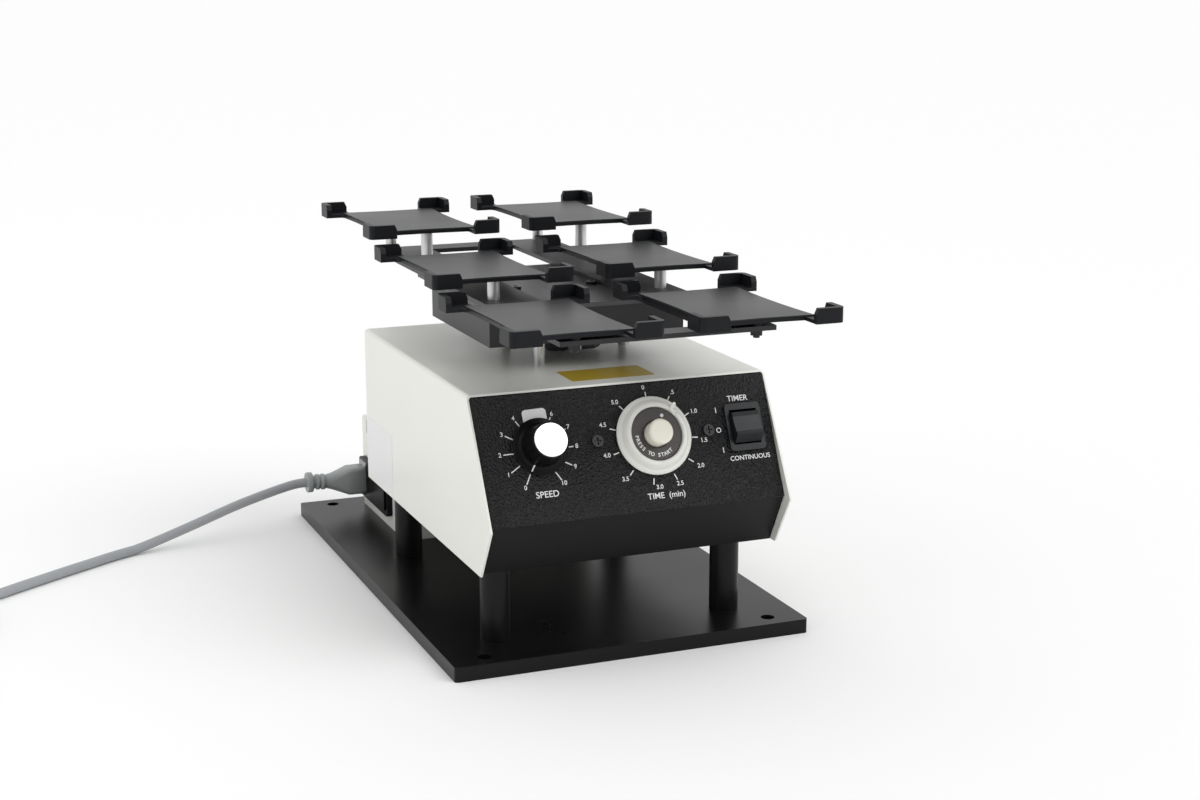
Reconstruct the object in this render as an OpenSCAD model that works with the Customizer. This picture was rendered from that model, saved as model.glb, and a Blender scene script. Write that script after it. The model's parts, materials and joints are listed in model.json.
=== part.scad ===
// Microplate shaker: a six place orbital deck on a control housing that stands on a base plate.
// Millimetres, +Z up, front towards -Y. The origin is the middle of the base plate's underside.

/* [Base plate] */
// width of the base plate along X
base_w = 240; // [220:1:300]
// depth of the base plate along Y
base_d = 390; // [360:1:460]
// thickness of the base plate
base_t = 9.5; // [8:0.5:16]
// radius of the base plate's upright corners
base_corner = 2.5; // [1:0.5:10]
// diameter of the four corner holes
mount_hole_d = 9; // [5:0.5:12]
// corner hole centre to the plate's side edge
mount_inset_x = 23; // [12:0.5:30]
// corner hole centre to the plate's front or rear edge
mount_inset_y = 12.6; // [9:0.2:20]

/* [Support posts] */
// diameter of the round posts under the housing
post_d = 19; // [14:0.5:24]
// height of the posts between base plate and housing
post_len = 52.5; // [40:0.5:90]
// post centre to the housing's side face
post_inset_x = 20.5; // [16:0.5:30]
// front post centre behind the housing's front lower tip
post_front_in = 34; // [24:0.5:50]
// rear post centre ahead of the housing's rear face
post_rear_in = 29; // [18:0.5:45]

/* [Housing] */
// middle of the drive and of the housing along Y
drive_y = -49.6; // [-60:0.1:-40]
// width of the housing over its side walls
body_w = 200; // [190:1:240]
// depth of the housing's flat top
top_d = 227.5; // [215:0.5:260]
// height of the housing
body_h = 108; // [100:1:140]
// height of the front knee above the housing's underside
knee_h = 33; // [26:0.5:40]
// how far the knee stands ahead of the top's front edge
knee_out = 42.9; // [34:0.1:52]
// how far the lower front tip stands ahead of the top's front edge
tip_out = 22.9; // [15:0.1:32]
// sheet thickness of the cover and the chassis
sheet_t = 1.2; // [1:0.1:2]
// outside radius of the cover's long bends
bend_r = 3; // [2:0.2:6]
// how far the side walls stand proud of the panel at the knee
panel_step = 6.9; // [4:0.1:10]
// thickness of the printed panel sheet
panel_t = 1.2; // [0.8:0.1:2]

/* [Speed control] */
// knob centre from the middle of the panel
speed_x = -58.8; // [-70:0.1:-50]
// diameter of the knob's skirt
knob_d = 35.6; // [30:0.2:40]
// height of the knob above the panel
knob_h = 22.6; // [16:0.2:28]
// diameter of the bright cap
cap_d = 21; // [14:0.2:23]

/* [Timer] */
// timer centre from the middle of the panel
timer_x = 16.4; // [10:0.1:22]
// outside diameter of the setting ring
ring_d = 49.8; // [44:0.2:54]
// diameter of the pointer disc inside the ring
disc_d = 33.6; // [28:0.2:36]
// diameter of the start button
button_d = 16; // [12:0.1:17.5]
// height of the start button above the panel
button_h = 14.6; // [11:0.1:16]
// distance between the two timer screws
timer_screw_pitch = 75.2; // [70:0.2:80]

/* [Switch] */
// switch centre from the middle of the panel
switch_x = 79; // [72:0.1:82]
// width of the switch bezel
bezel_w = 24.5; // [20:0.1:27]
// height of the switch bezel along the slope
bezel_d = 30.5; // [26:0.1:34]
// tilt of the rocker at rest, upper end pressed
rocker_tilt = 11; // [6:0.5:14]

/* [Rear supply box] */
// width of the supply box
box_w = 146; // [136:1:190]
// depth of the supply box
box_d = 110; // [100:1:120]
// how far the supply box rises above the housing's underside
box_rise = 18; // [17:0.5:30]
// free gap between the housing and the supply box
box_gap = 3; // [2:0.5:8]
// sheet thickness of the supply box
box_t = 1.5; // [1:0.1:2.2]

/* [Drive] */
// width of the drive plate
plate_w = 124; // [118:1:150]
// depth of the drive plate
plate_d = 120; // [116:1:140]
// thickness of the drive plate
plate_t = 5; // [4:0.5:8]
// diameter of the motor
motor_d = 62; // [50:1:70]
// height of the motor below its flange
motor_h = 62; // [45:1:66]
// radius of the circular shaking motion
orbit_r = 1.5; // [1:0.1:2.2]
// diameter of the motor shaft
shaft_d = 8; // [6:0.5:10]
// diameter of the crank pin
pin_d = 10; // [7:0.5:12]
// radius of the circle on which the three idlers stand
idler_circle_r = 48; // [42:0.5:52]
// diameter of the visible idler posts
idler_d = 7.8; // [6:0.2:10]
// running clearance on the radius of each turning fit
run_gap = 0.05; // [0.02:0.01:0.1]

/* [Control board] */
// width of the control board
board_w = 108; // [96:1:130]
// depth of the control board
board_d = 94; // [90:1:110]

/* [Deck] */
// free height between the housing's top and the deck pan
deck_gap = 17; // [14:0.5:26]
// width of the deck pan
pan_w = 134; // [126:1:150]
// height of the deck pan
pan_h = 22; // [19:0.5:30]
// thickness of the deck plate
deck_t = 3; // [2:0.1:5]
// thickness of the holder frame
frame_t = 3; // [2:0.1:5]
// width of the holder frame
frame_w = 138; // [132:1:160]
// width of the holder frame's middle opening
frame_open_w = 63; // [40:1:76]
// wall thickness of the deck pan
pan_t = 2; // [1.5:0.1:3]
// width of the bearing block's flange
block_w = 68; // [60:1:76]
// depth of the bearing block's flange
block_d = 34; // [33:1:44]

/* [Plate holders] */
// outside width of a holder over its corner brackets
holder_w = 94; // [90:0.5:100]
// outside depth of a holder over its corner brackets
holder_d = 136; // [132:0.5:141]
// distance between the two columns
pitch_x = 116; // [104:0.5:130]
// distance between the rows
pitch_y = 141.7; // [136:0.1:160]
// height of the front holders above the frame
front_rise = 2.2; // [1.5:0.1:5]
// height of the middle holders above the frame
mid_rise = 12.2; // [11:0.1:16]
// height of the rear holders above the frame
rear_rise = 24; // [20:0.1:30]
// height of the corner brackets
bracket_h = 9.4; // [7:0.1:14]
// thickness of the bracket walls
bracket_t = 3.7; // [2.5:0.1:5]
// outside corner radius of the brackets
bracket_r = 3.6; // [2:0.1:5]
// length of a bracket arm at its foot
bracket_arm = 19; // [13:0.1:20]
// thickness of a holder's floor
floor_t = 2.3; // [1.8:0.1:4]
// thickness of the soft pad
pad_t = 0.8; // [0.5:0.1:2]
// diameter of the holder posts
stem_d = 8; // [6:0.2:10]
// distance between a holder's two posts
stem_pitch = 90; // [80:0.5:96]
// post centre to the front or rear edge of a holder's floor
floor_lap = 9; // [7:0.5:12]

/* [Lead] */
// diameter of the power lead
lead_d = 7; // [5:0.2:9]
// mean radius of the stored coil
coil_r = 38; // [34:0.5:44]

/* [Hidden] */
$fn = 64;
e = 0.5;

// heights
body_z = base_t + post_len;
top_z = body_z + body_h;
knee_z = body_z + knee_h;
pan_z = top_z + deck_gap;
plate_z = pan_z + pan_h;
frame_z = plate_z + deck_t;
deck_z = frame_z + frame_t;

// positions along Y
front_y = drive_y - top_d / 2;
rear_y = drive_y + top_d / 2;
knee_y = front_y - knee_out;
tip_y = front_y - tip_out;
box_y = rear_y + box_gap;
post_x = body_w / 2 - post_inset_x;
post_ys = [tip_y + post_front_in, rear_y - post_rear_in];

// the sloping panel: foot, top and lie
foot_y = knee_y + panel_step;
foot_z = knee_z + 0.5;
head_y = front_y - 1;
head_z = top_z - sheet_t;
panel_len = sqrt(pow(head_y - foot_y, 2) + pow(head_z - foot_z, 2));
panel_lie = atan2(head_z - foot_z, head_y - foot_y);
skirt_y = tip_y + 6.2;
chassis_w = body_w - 2 * sheet_t - 0.6;
mid_s = 0.575 * panel_len;
chassis_drop = panel_t + sheet_t;

// drive
axis_x = orbit_r;
idler_angles = [116, 236, 356];
idler_lower_r = idler_d / 2 - 0.9;
idler_upper_r = min(idler_d / 2 - orbit_r - 0.1, 2.3);
drive_low = head_z - plate_t;
motor_r = motor_d / 2;
stud_x = plate_w / 2 - 8;
stud_y = plate_d / 2 - 8;
stud_r = 2.5;
hub_r = 13;
hub_h = deck_gap - 4.2;
hub_z = top_z + 1.5;
pin_z = hub_z + hub_h;
block_z = pan_z + 3;

// deck
deck_front = drive_y - 63.9;
deck_rear = drive_y + 90.6;
pan_front = drive_y - 62.4;
pan_rear = drive_y + 57.6;
frame_front = drive_y - pitch_y - stem_pitch / 2 - 4.5;
frame_rear = drive_y + pitch_y + stem_pitch / 2 + 5;
open_front = frame_front + 15;
open_rear = frame_rear - 21;
row_ys = [drive_y - pitch_y, drive_y, drive_y + pitch_y];
rises = [front_rise, mid_rise, rear_rise];

// supply box and inlet
box_z = base_t;
box_h = post_len + box_rise;
inlet_y0 = box_y + 31;
inlet_y1 = inlet_y0 + 76.5;
inlet_z0 = box_z + 9.5;
inlet_z1 = inlet_z0 + 30;
face_x = -box_w / 2 - 4;
plug_y = inlet_y1 - 10.2;
plug_z = (inlet_z0 + inlet_z1) / 2;
nest_x = face_x + 17.5;
bush_z = body_z + sheet_t + 7.3;
wire_gap = 0.3;

// basic shapes
module slab(a, b) translate(a) cube(b - a);
module rod(x, y, z0, z1, r) translate([x, y, z0]) cylinder(h = z1 - z0, r = r);
module across(x0, x1) translate([x0, 0, 0]) rotate([90, 0, 90]) linear_extrude(x1 - x0) children();
module along_x(p, l, r) translate(p) rotate([0, 90, 0]) cylinder(h = l, r = r);
module along_y(p, l, r) translate(p) rotate([-90, 0, 0]) cylinder(h = l, r = r);
module on_panel() translate([0, foot_y, foot_z]) rotate([panel_lie, 0, 0]) children();
module spin(pts) rotate_extrude($fn = 96) polygon(pts);

module round_plate(w, d, h, r) {
  translate([-w / 2 + r, -d / 2, 0]) cube([w - 2 * r, d, h]);
  translate([-w / 2, -d / 2 + r, 0]) cube([w, d - 2 * r, h]);
  for (x = [-1, 1], y = [-1, 1])
    translate([x * (w / 2 - r), y * (d / 2 - r), 0]) cylinder(h = h, r = r);
}

// a screw hanging down from its head's seat, with a hexagonal socket
module cap_screw(r, l, hr, hh) {
  difference() {
    union() {
      cylinder(h = hh, r = hr);
      translate([0, 0, -l]) cylinder(h = l + 0.01, r = r);
    }
    translate([0, 0, hh * 0.4]) cylinder(h = hh, r = hr * 0.5, $fn = 6);
  }
}

// a countersunk screw whose head is flush with z = 0
module sunk_screw(r, l, hr) {
  difference() {
    union() {
      translate([0, 0, r - hr]) cylinder(h = hr - r, r1 = r, r2 = hr);
      translate([0, 0, -l]) cylinder(h = l - hr + r + 0.01, r = r);
    }
    translate([0, 0, -(hr - r) * 0.7]) cylinder(h = hr, r = r * 0.75, $fn = 6);
  }
}

module sunk_hole(r, l, hr) {
  translate([0, 0, r - hr]) cylinder(h = hr - r, r1 = r, r2 = hr);
  translate([0, 0, -0.01]) cylinder(h = 1, r = hr);
  translate([0, 0, -l]) cylinder(h = l, r = r);
}

module cross_head(r, l, hr, hh) {
  difference() {
    union() {
      cylinder(h = hh, r = hr);
      translate([0, 0, -l]) cylinder(h = l + 0.01, r = r);
    }
    for (a = [0, 90])
      rotate([0, 0, a]) translate([-hr * 0.62, -hr * 0.13, hh * 0.35]) cube([hr * 1.24, hr * 0.26, hh]);
  }
}

// base plate, posts and their screws
module base_plate() color("#1b1b1d") {
  difference() {
    round_plate(base_w, base_d, base_t, base_corner);
    for (x = [-1, 1], y = [-1, 1])
      rod(x * (base_w / 2 - mount_inset_x), y * (base_d / 2 - mount_inset_y), -1, base_t + 1, mount_hole_d / 2);
    base_screw_places() rotate([180, 0, 0]) sunk_hole(3.1, base_t + 1, 6.2);
  }
}

module base_screw_places() {
  for (x = [-1, 1], y = post_ys) translate([x * post_x, y, 0]) children();
  for (x = [-1, 1], y = [box_y + 15, box_y + box_d - 15]) translate([x * (box_w / 2 - 12), y, 0]) children();
}

module support_posts() color("#1b1b1d") {
  for (x = [-1, 1], y = post_ys) difference() {
    rod(x * post_x, y, base_t, body_z, post_d / 2);
    rod(x * post_x, y, base_t - 1, base_t + 14, 3.1);
    rod(x * post_x, y, body_z - 14, body_z + 1, 3.1);
  }
}

module base_screws() color("#8d9094") {
  for (x = [-1, 1], y = post_ys)
    translate([x * post_x, y, 0]) rotate([180, 0, 0]) sunk_screw(3, base_t + 12, 6.1);
  for (x = [-1, 1], y = [box_y + 15, box_y + box_d - 15])
    translate([x * (box_w / 2 - 12), y, 0]) rotate([180, 0, 0]) sunk_screw(3, base_t + 9, 6.1);
}

module post_screws() color("#8d9094") {
  for (x = [-1, 1], y = post_ys) translate([x * post_x, y, body_z + sheet_t]) cap_screw(3, 12, 5, 3.2);
}

// chassis: one bent sheet with panel slope, skirt, floor and rear wall
function unit(a, b) = (b - a) / norm(b - a);
function left_of(v) = [-v[1], v[0]];
function mitre(p, i, t) =
  let (n = len(p))
  i == 0 ? p[0] + t * left_of(unit(p[0], p[1])) :
  i == n - 1 ? p[i] + t * left_of(unit(p[i - 1], p[i])) :
  let (a = left_of(unit(p[i - 1], p[i])), b = left_of(unit(p[i], p[i + 1])), m = (a + b) / norm(a + b))
  p[i] + m * t / (m * a);
function sheet(p, t) = concat(p, [for (i = [len(p) - 1:-1:0]) mitre(p, i, t)]);

slope_in = panel_t * [sin(panel_lie), -cos(panel_lie)];
chassis_line = [
  [head_y + 14, head_z],
  [head_y + panel_t / sin(panel_lie), head_z],
  [foot_y, foot_z] + slope_in,
  [skirt_y, body_z],
  [rear_y - sheet_t, body_z],
  [rear_y - sheet_t, head_z],
  [rear_y - 14, head_z]];

module panel_holes(grow) {
  on_panel() {
    translate([speed_x, mid_s, -20]) cylinder(h = 30, r = 4.8 + grow);
    translate([timer_x, mid_s, -20]) cylinder(h = 30, r = 13.4 + grow);
    for (s = [-1, 1])
      translate([timer_x + s * timer_screw_pitch / 2, mid_s, -20]) cylinder(h = 30, r = 2.1 + grow);
    translate([switch_x - bezel_w / 2 + 1.6, mid_s - bezel_d / 2 + 1.6, -20])
      cube([bezel_w - 3.2, bezel_d - 3.2, 30]);
  }
}

lip_w = 12;
lip_xs = [-body_w / 2 + 6, body_w / 2 - 6];
lip_zs = [body_z + 12, top_z - 14];
module rear_screw_places() {
  for (x = lip_xs, z = lip_zs) translate([x, rear_y, z]) rotate([-90, 0, 0]) children();
  for (x = [-45, 45]) translate([x, rear_y, top_z - 7.5]) rotate([-90, 0, 0]) children();
}

board_y = drive_y + 3;
board_xs = [-board_w / 2 + 6, board_w / 2 - 6];
board_ys = [board_y - board_d / 2 + 6, board_y + board_d / 2 - 6];
board_z = body_z + sheet_t + 8;

module chassis() color("#202022") {
  difference() {
    union() {
      across(-chassis_w / 2, chassis_w / 2) polygon(sheet(chassis_line, sheet_t));
      for (s = [-1, 1])
        slab([s > 0 ? chassis_w / 2 - sheet_t : -chassis_w / 2, skirt_y + 8, body_z + sheet_t / 2],
             [s > 0 ? chassis_w / 2 : -chassis_w / 2 + sheet_t, rear_y - 2 * sheet_t, body_z + 12]);
    }
    for (s = [-1, 1])
      slab([s > 0 ? body_w / 2 - bend_r - 0.1 : -body_w / 2, tip_y, top_z - bend_r - 0.1],
           [s > 0 ? body_w / 2 : -body_w / 2 + bend_r + 0.1, rear_y, top_z]);
    panel_holes(0);
    for (x = [-1, 1], y = post_ys) rod(x * post_x, y, body_z - 1, body_z + 4, 3.3);
    for (x = board_xs, y = board_ys) rod(x, y, body_z - 1, body_z + 4, 2.1);
    along_y([0, rear_y - 6, bush_z], 8, 6.2);
    rear_screw_places() translate([0, 0, -8]) cylinder(h = 9, r = 1.8);
  }
}

module front_panel() color("#2a2a2c") {
  difference() {
    on_panel() translate([-chassis_w / 2 + 0.2, 0, -panel_t]) cube([chassis_w - 0.4, panel_len - 0.6, panel_t]);
    panel_holes(0);
  }
}

// cover: a folded hood with turned-in rear lips and four welded studs under its top
side_line = [[front_y, top_z], [knee_y, knee_z], [tip_y, body_z], [rear_y, body_z], [rear_y, top_z]];

module hood_section(w, h, r) {
  translate([-w / 2, 0]) square([w, h - r]);
  translate([-w / 2 + r, 0]) square([w - 2 * r, h]);
  for (s = [-1, 1]) translate([s * (w / 2 - r), h - r]) circle(r = r);
}

module hood(w, h, r, z0) {
  translate([0, rear_y + 1, z0]) rotate([90, 0, 0]) linear_extrude(rear_y - knee_y + 3) hood_section(w, h, r);
}

module cover() color("#e6e5dc") {
  difference() {
    union() {
      intersection() {
        across(-body_w / 2 - 1, body_w / 2 + 1) polygon(side_line);
        difference() {
          hood(body_w, body_h, bend_r, body_z);
          hood(body_w - 2 * sheet_t, body_h - sheet_t + 5, max(bend_r - sheet_t, 0.4), body_z - 5);
        }
      }
      for (s = [-1, 1])
        slab([s > 0 ? body_w / 2 - lip_w : -body_w / 2 + 1, rear_y - sheet_t, body_z],
             [s > 0 ? body_w / 2 - 1 : -body_w / 2 + lip_w, rear_y, top_z - sheet_t]);
      slab([-body_w / 2 + 3, rear_y - sheet_t, top_z - lip_w], [body_w / 2 - 3, rear_y, top_z - 1]);
      for (x = [-1, 1], y = [-1, 1])
        rod(x * stud_x, drive_y + y * stud_y, drive_low - 7, head_z + e, stud_r);
    }
    rod(axis_x, drive_y, head_z - 1, top_z + 1, shaft_d / 2 + 5);
    idler_places() translate([0, 0, head_z - 1]) cylinder(h = 4, r = idler_d / 2 - 0.1);
    rear_screw_places() translate([0, 0, -3]) cylinder(h = 4, r = 1.8);
  }
}

module cover_screws() color("#8d9094") {
  rear_screw_places() cross_head(1.7, 7, 3.4, 1.8);
}

// drive plate, its nuts, motor and idler bushes
module idler_places() {
  for (a = idler_angles)
    translate([axis_x + idler_circle_r * cos(a), drive_y + idler_circle_r * sin(a), 0]) children();
}

module motor_screw_places() {
  for (a = [45:90:315]) translate([axis_x + 24 * cos(a), drive_y + 24 * sin(a), head_z]) children();
}

module drive_plate() color("#a7abb0") {
  difference() {
    translate([0, drive_y, drive_low]) round_plate(plate_w, plate_d, plate_t, 6);
    rod(axis_x, drive_y, drive_low - 1, head_z + 1, 12.1);
    for (x = [-1, 1], y = [-1, 1])
      rod(x * stud_x, drive_y + y * stud_y, drive_low - 1, head_z + 1, stud_r + 0.2);
    idler_places() translate([0, 0, drive_low - 1]) cylinder(h = plate_t + 2, r = idler_lower_r + 3.5);
    motor_screw_places() sunk_hole(2.1, plate_t + 1, 4.2);
  }
}

module drive_nuts() color("#8d9094") {
  for (x = [-1, 1], y = [-1, 1]) translate([x * stud_x, drive_y + y * stud_y, drive_low - 4.8]) difference() {
    union() {
      cylinder(h = 4, r = 4.6, $fn = 6);
      translate([0, 0, 3.8]) cylinder(h = 1, r = 5.4);
    }
    translate([0, 0, -1]) cylinder(h = 8, r = stud_r + 0.05);
  }
}

module motor() color("#55585c") {
  difference() {
    union() {
      rod(axis_x, drive_y, drive_low - motor_h, drive_low - 6, motor_r);
      rod(axis_x, drive_y, drive_low - 6.01, drive_low, motor_r + 1.5);
      rod(axis_x, drive_y, drive_low - 0.01, drive_low + 3, 12);
      rod(axis_x, drive_y, drive_low - motor_h - 5, drive_low - motor_h + 0.01, 12);
      translate([axis_x - 7, drive_y + motor_r - 2, drive_low - motor_h + 6]) cube([14, 7, 12]);
    }
    rod(axis_x, drive_y, drive_low - motor_h + 8, drive_low + 4, shaft_d / 2 + run_gap);
    for (i = [0:2]) translate([axis_x, drive_y, drive_low - 16 - 14 * i]) difference() {
      cylinder(h = 1.6, r = motor_r + 1);
      translate([0, 0, -1]) cylinder(h = 4, r = motor_r - 0.8);
    }
    motor_screw_places() translate([0, 0, -plate_t - 9]) cylinder(h = 10, r = 2.05);
  }
}

module motor_screws() color("#8d9094") {
  motor_screw_places() sunk_screw(2, plate_t + 8, 4.1);
}

module idler_bushes() color("#b08a4e") {
  idler_places() difference() {
    union() {
      translate([0, 0, drive_low - 4]) cylinder(h = plate_t + 4, r = idler_lower_r + 3.45);
      translate([0, 0, head_z - e]) cylinder(h = sheet_t + e, r = idler_d / 2 - 0.2);
      translate([0, 0, drive_low - 4]) cylinder(h = 4, r = idler_lower_r + 5.5);
    }
    translate([0, 0, drive_low - 6]) cylinder(h = plate_t + 10, r = idler_lower_r + run_gap);
  }
}

// an idler turns in its fixed bush; its offset upper journal turns in the deck's bush
module idler(a) {
  translate([axis_x + idler_circle_r * cos(a), drive_y + idler_circle_r * sin(a), 0]) {
    difference() {
      translate([0, 0, drive_low - 9]) cylinder(h = top_z + 0.1 - drive_low + 9, r = idler_lower_r);
      translate([0, 0, drive_low - 6.6]) difference() {
        cylinder(h = 1.2, r = idler_lower_r + 1);
        translate([0, 0, -1]) cylinder(h = 4, r = idler_lower_r - 0.7);
      }
    }
    translate([0, 0, drive_low - 6.5]) difference() {
      cylinder(h = 1, r = idler_lower_r + 2.4);
      translate([0, 0, -1]) cylinder(h = 3, r = idler_lower_r - 0.7);
      translate([0, -1.4, -1]) cube([idler_lower_r + 4, 2.8, 3]);
    }
    translate([0, 0, top_z]) cylinder(h = deck_gap + 3, r = idler_d / 2);
    translate([-orbit_r, 0, pan_z + 2.9]) cylinder(h = pan_h - 5.4, r = idler_upper_r);
  }
}

module idler_left() color("#c9ccd0") idler(idler_angles[0]);
module idler_front() color("#c9ccd0") idler(idler_angles[1]);
module idler_right() color("#c9ccd0") idler(idler_angles[2]);

// crank: clamped hub, balance weight on the far side, offset pin
module crank() color("#3a3c40") {
  difference() {
    union() {
      rod(axis_x, drive_y, hub_z, pin_z, hub_r);
      intersection() {
        rod(axis_x, drive_y, hub_z + 1.5, pin_z - 2.2, 30);
        slab([axis_x + 4, drive_y - 24, hub_z], [axis_x + 40, drive_y + 24, pin_z]);
      }
      rod(axis_x - orbit_r, drive_y, pin_z - e, plate_z - pan_t - 2.4, pin_d / 2);
    }
    rod(axis_x, drive_y, hub_z - 1, pin_z - 1.6, shaft_d / 2);
    along_x([axis_x - hub_r - 1, drive_y, hub_z + hub_h / 2], hub_r, 2);
  }
}

module motor_shaft() color("#c9ccd0") {
  rod(axis_x, drive_y, drive_low - motor_h + 9, pin_z - 1.6, shaft_d / 2);
}

// deck pan, bearing block and bushes
block_screw_x = block_w / 2 - 7;

module deck_idler_places() {
  for (a = idler_angles)
    translate([axis_x - orbit_r + idler_circle_r * cos(a), drive_y + idler_circle_r * sin(a), 0]) children();
}

module stem_places(rows) {
  for (x = [-1, 1], i = rows, k = [-1, 1])
    translate([x * pitch_x / 2, row_ys[i] + k * stem_pitch / 2, 0]) children();
}

module deck_pan() color("#2c2d2f") {
  difference() {
    slab([-pan_w / 2, pan_front, pan_z], [pan_w / 2, pan_rear, plate_z]);
    slab([-pan_w / 2 + pan_t, pan_front + pan_t, pan_z - 1], [pan_w / 2 - pan_t, pan_rear - pan_t, plate_z - pan_t]);
    for (x = [-block_screw_x, block_screw_x]) rod(x, drive_y, plate_z - 4, plate_z + 1, 2.3);
    stem_places([1]) translate([0, 0, plate_z - 4]) cylinder(h = 6, r = 2.3);
    deck_idler_places() translate([0, 0, plate_z - 4]) cylinder(h = 6, r = idler_upper_r + 3.05);
  }
}

module deck_plate() color("#4a4b4e") {
  difference() {
    slab([-pan_w / 2, deck_front, plate_z], [pan_w / 2, deck_rear, frame_z]);
    for (x = [-block_screw_x, block_screw_x]) rod(x, drive_y, plate_z - 1, frame_z + 1, 2.3);
    stem_places([1]) translate([0, 0, plate_z - 1]) cylinder(h = 6, r = 2.3);
  }
}

module bearing_block() color("#5a5d61") {
  difference() {
    union() {
      translate([0, drive_y, plate_z - pan_t - 5]) round_plate(block_w, block_d, 5, 4);
      rod(0, drive_y, block_z, plate_z - pan_t - 4.9, 16.5);
    }
    rod(0, drive_y, block_z - 1, plate_z - pan_t - 2, 13);
    for (x = [-block_screw_x, block_screw_x]) rod(x, drive_y, plate_z - 12, plate_z, 2.05);
  }
}

module deck_bearing() color("#9da1a6") {
  rod_h = plate_z - pan_t - 2 - block_z - 1;
  translate([0, drive_y, block_z + 1]) spin([
    [pin_d / 2 + run_gap, 0], [pin_d / 2 + 2.4, 0], [pin_d / 2 + 2.4, 0.6], [10.4, 0.6], [10.4, 0],
    [13, 0], [13, rod_h], [10.4, rod_h], [10.4, rod_h - 0.6], [pin_d / 2 + 2.4, rod_h - 0.6],
    [pin_d / 2 + 2.4, rod_h], [pin_d / 2 + run_gap, rod_h]]);
}

module bearing_screws() color("#a9acb0") {
  for (x = [-block_screw_x, block_screw_x]) translate([x, drive_y, frame_z]) cap_screw(2, deck_t + pan_t + 4.5, 3.8, 2.2);
}

module deck_bushes() color("#b08a4e") {
  deck_idler_places() difference() {
    union() {
      translate([0, 0, pan_z + 7]) cylinder(h = pan_h - 7, r = idler_upper_r + 3);
      translate([0, 0, plate_z - pan_t - 3]) cylinder(h = 3, r = idler_upper_r + 5.5);
    }
    translate([0, 0, pan_z + 5]) cylinder(h = pan_h - 7, r = idler_upper_r + run_gap);
  }
}

// frame with the long middle opening
module holder_frame() color("#232426") {
  difference() {
    slab([-frame_w / 2, frame_front, frame_z], [frame_w / 2, frame_rear, deck_z]);
    slab([-frame_open_w / 2, open_front, frame_z - 1], [frame_open_w / 2, open_rear, deck_z + 1]);
    stem_places([0, 1, 2]) translate([0, 0, frame_z - 1]) cylinder(h = 6, r = 2.1);
  }
}

module frame_screws() color("#8d9094") {
  stem_places([1]) translate([0, 0, plate_z - pan_t]) rotate([180, 0, 0])
    cap_screw(2, pan_t + deck_t + frame_t + 5, 3.6, 2.4);
  stem_places([2]) translate([0, 0, frame_z]) rotate([180, 0, 0]) cap_screw(2, frame_t + 9, 3.6, 2.4);
}

module holder_posts() color("#b9bcbf") {
  for (i = [1, 2]) stem_places([i]) difference() {
    translate([0, 0, deck_z]) cylinder(h = rises[i], r = stem_d / 2);
    translate([0, 0, deck_z - 1]) cylinder(h = rises[i] * 0.45 + 1, r = 2.05);
    translate([0, 0, deck_z + rises[i] * 0.55]) cylinder(h = rises[i], r = 2.05);
  }
}

module holder_spacers() color("#b9bcbf") {
  stem_places([0]) translate([0, 0, deck_z]) difference() {
    cylinder(h = front_rise, r = stem_d / 2);
    translate([0, 0, -1]) cylinder(h = front_rise + 2, r = 2.1);
  }
}

// plate holder: floor with drawn-in edges, necks and four corner brackets
wing_w = holder_w - 24;
wing_d = stem_pitch + 2 * floor_lap;

module bowed(w, d, sag) {
  rx = (pow(d / 2, 2) + sag * sag) / (2 * sag);
  ry = (pow(w / 2, 2) + sag * sag) / (2 * sag);
  difference() {
    square([w, d], center = true);
    for (s = [-1, 1]) {
      translate([s * (w / 2 - sag + rx), 0]) circle(r = rx, $fn = 360);
      translate([0, s * (d / 2 - sag + ry)]) circle(r = ry, $fn = 360);
    }
  }
}

module corner_neck(w) {
  for (x = [-1, 1], y = [-1, 1])
    translate([x * (wing_w / 2 - 1), y * (wing_d / 2 - 1)])
      rotate([0, 0, atan2(y * (bracket_arm - 3.5), x * (bracket_arm - 5.5))])
        translate([-8, -w / 2]) square([22, w]);
}

// walls stand on a foot with a bevelled inner corner; their free ends lean back near the top
module bracket_corner() {
  a = bracket_arm;
  t = bracket_t;
  r = bracket_r;
  lean = 24;
  from = bracket_h * 0.62;
  difference() {
    union() {
      translate([-a, -a, 0]) cube([a, a - r, floor_t]);
      translate([-a, -a, 0]) cube([a - r, a, floor_t]);
      translate([-r, -r, 0]) cylinder(h = bracket_h, r = r);
      translate([-t, -a, 0]) cube([t, a - r, bracket_h]);
      translate([-a, -t, 0]) cube([a - r, t, bracket_h]);
    }
    translate([-a - 8, -a - 8, floor_t]) cube([a - t + 8, a - t + 8, bracket_h]);
    translate([-a - 2, -a - 2, -1])
      rotate([0, 0, 45]) translate([-a, -a, 0]) cube([a + 4.5, 2 * a, bracket_h + 2]);
    translate([-a, -t - 1, from]) rotate([0, lean, 0]) translate([-6, 0, 0]) cube([6, t + 2, bracket_h]);
    translate([-t - 1, -a, from]) rotate([-lean, 0, 0]) translate([0, -6, 0]) cube([t + 2, 6, bracket_h]);
  }
}

module plate_holder() {
  difference() {
    union() {
      linear_extrude(floor_t) bowed(wing_w, wing_d, 2.2);
      linear_extrude(floor_t) corner_neck(9);
      for (x = [0, 1], y = [0, 1])
        mirror([1 - x, 0, 0]) mirror([0, 1 - y, 0]) translate([holder_w / 2, holder_d / 2, 0]) bracket_corner();
    }
    for (k = [-1, 1]) translate([0, k * stem_pitch / 2, floor_t]) sunk_hole(2.1, floor_t + 1, 3.9);
  }
}

module holder_row(i) {
  for (x = [-1, 1]) translate([x * pitch_x / 2, row_ys[i], deck_z + rises[i]]) plate_holder();
}

module front_plate_holders() color("#1d1e20") holder_row(0);
module middle_plate_holders() color("#1d1e20") holder_row(1);
module rear_plate_holders() color("#1d1e20") holder_row(2);

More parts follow.
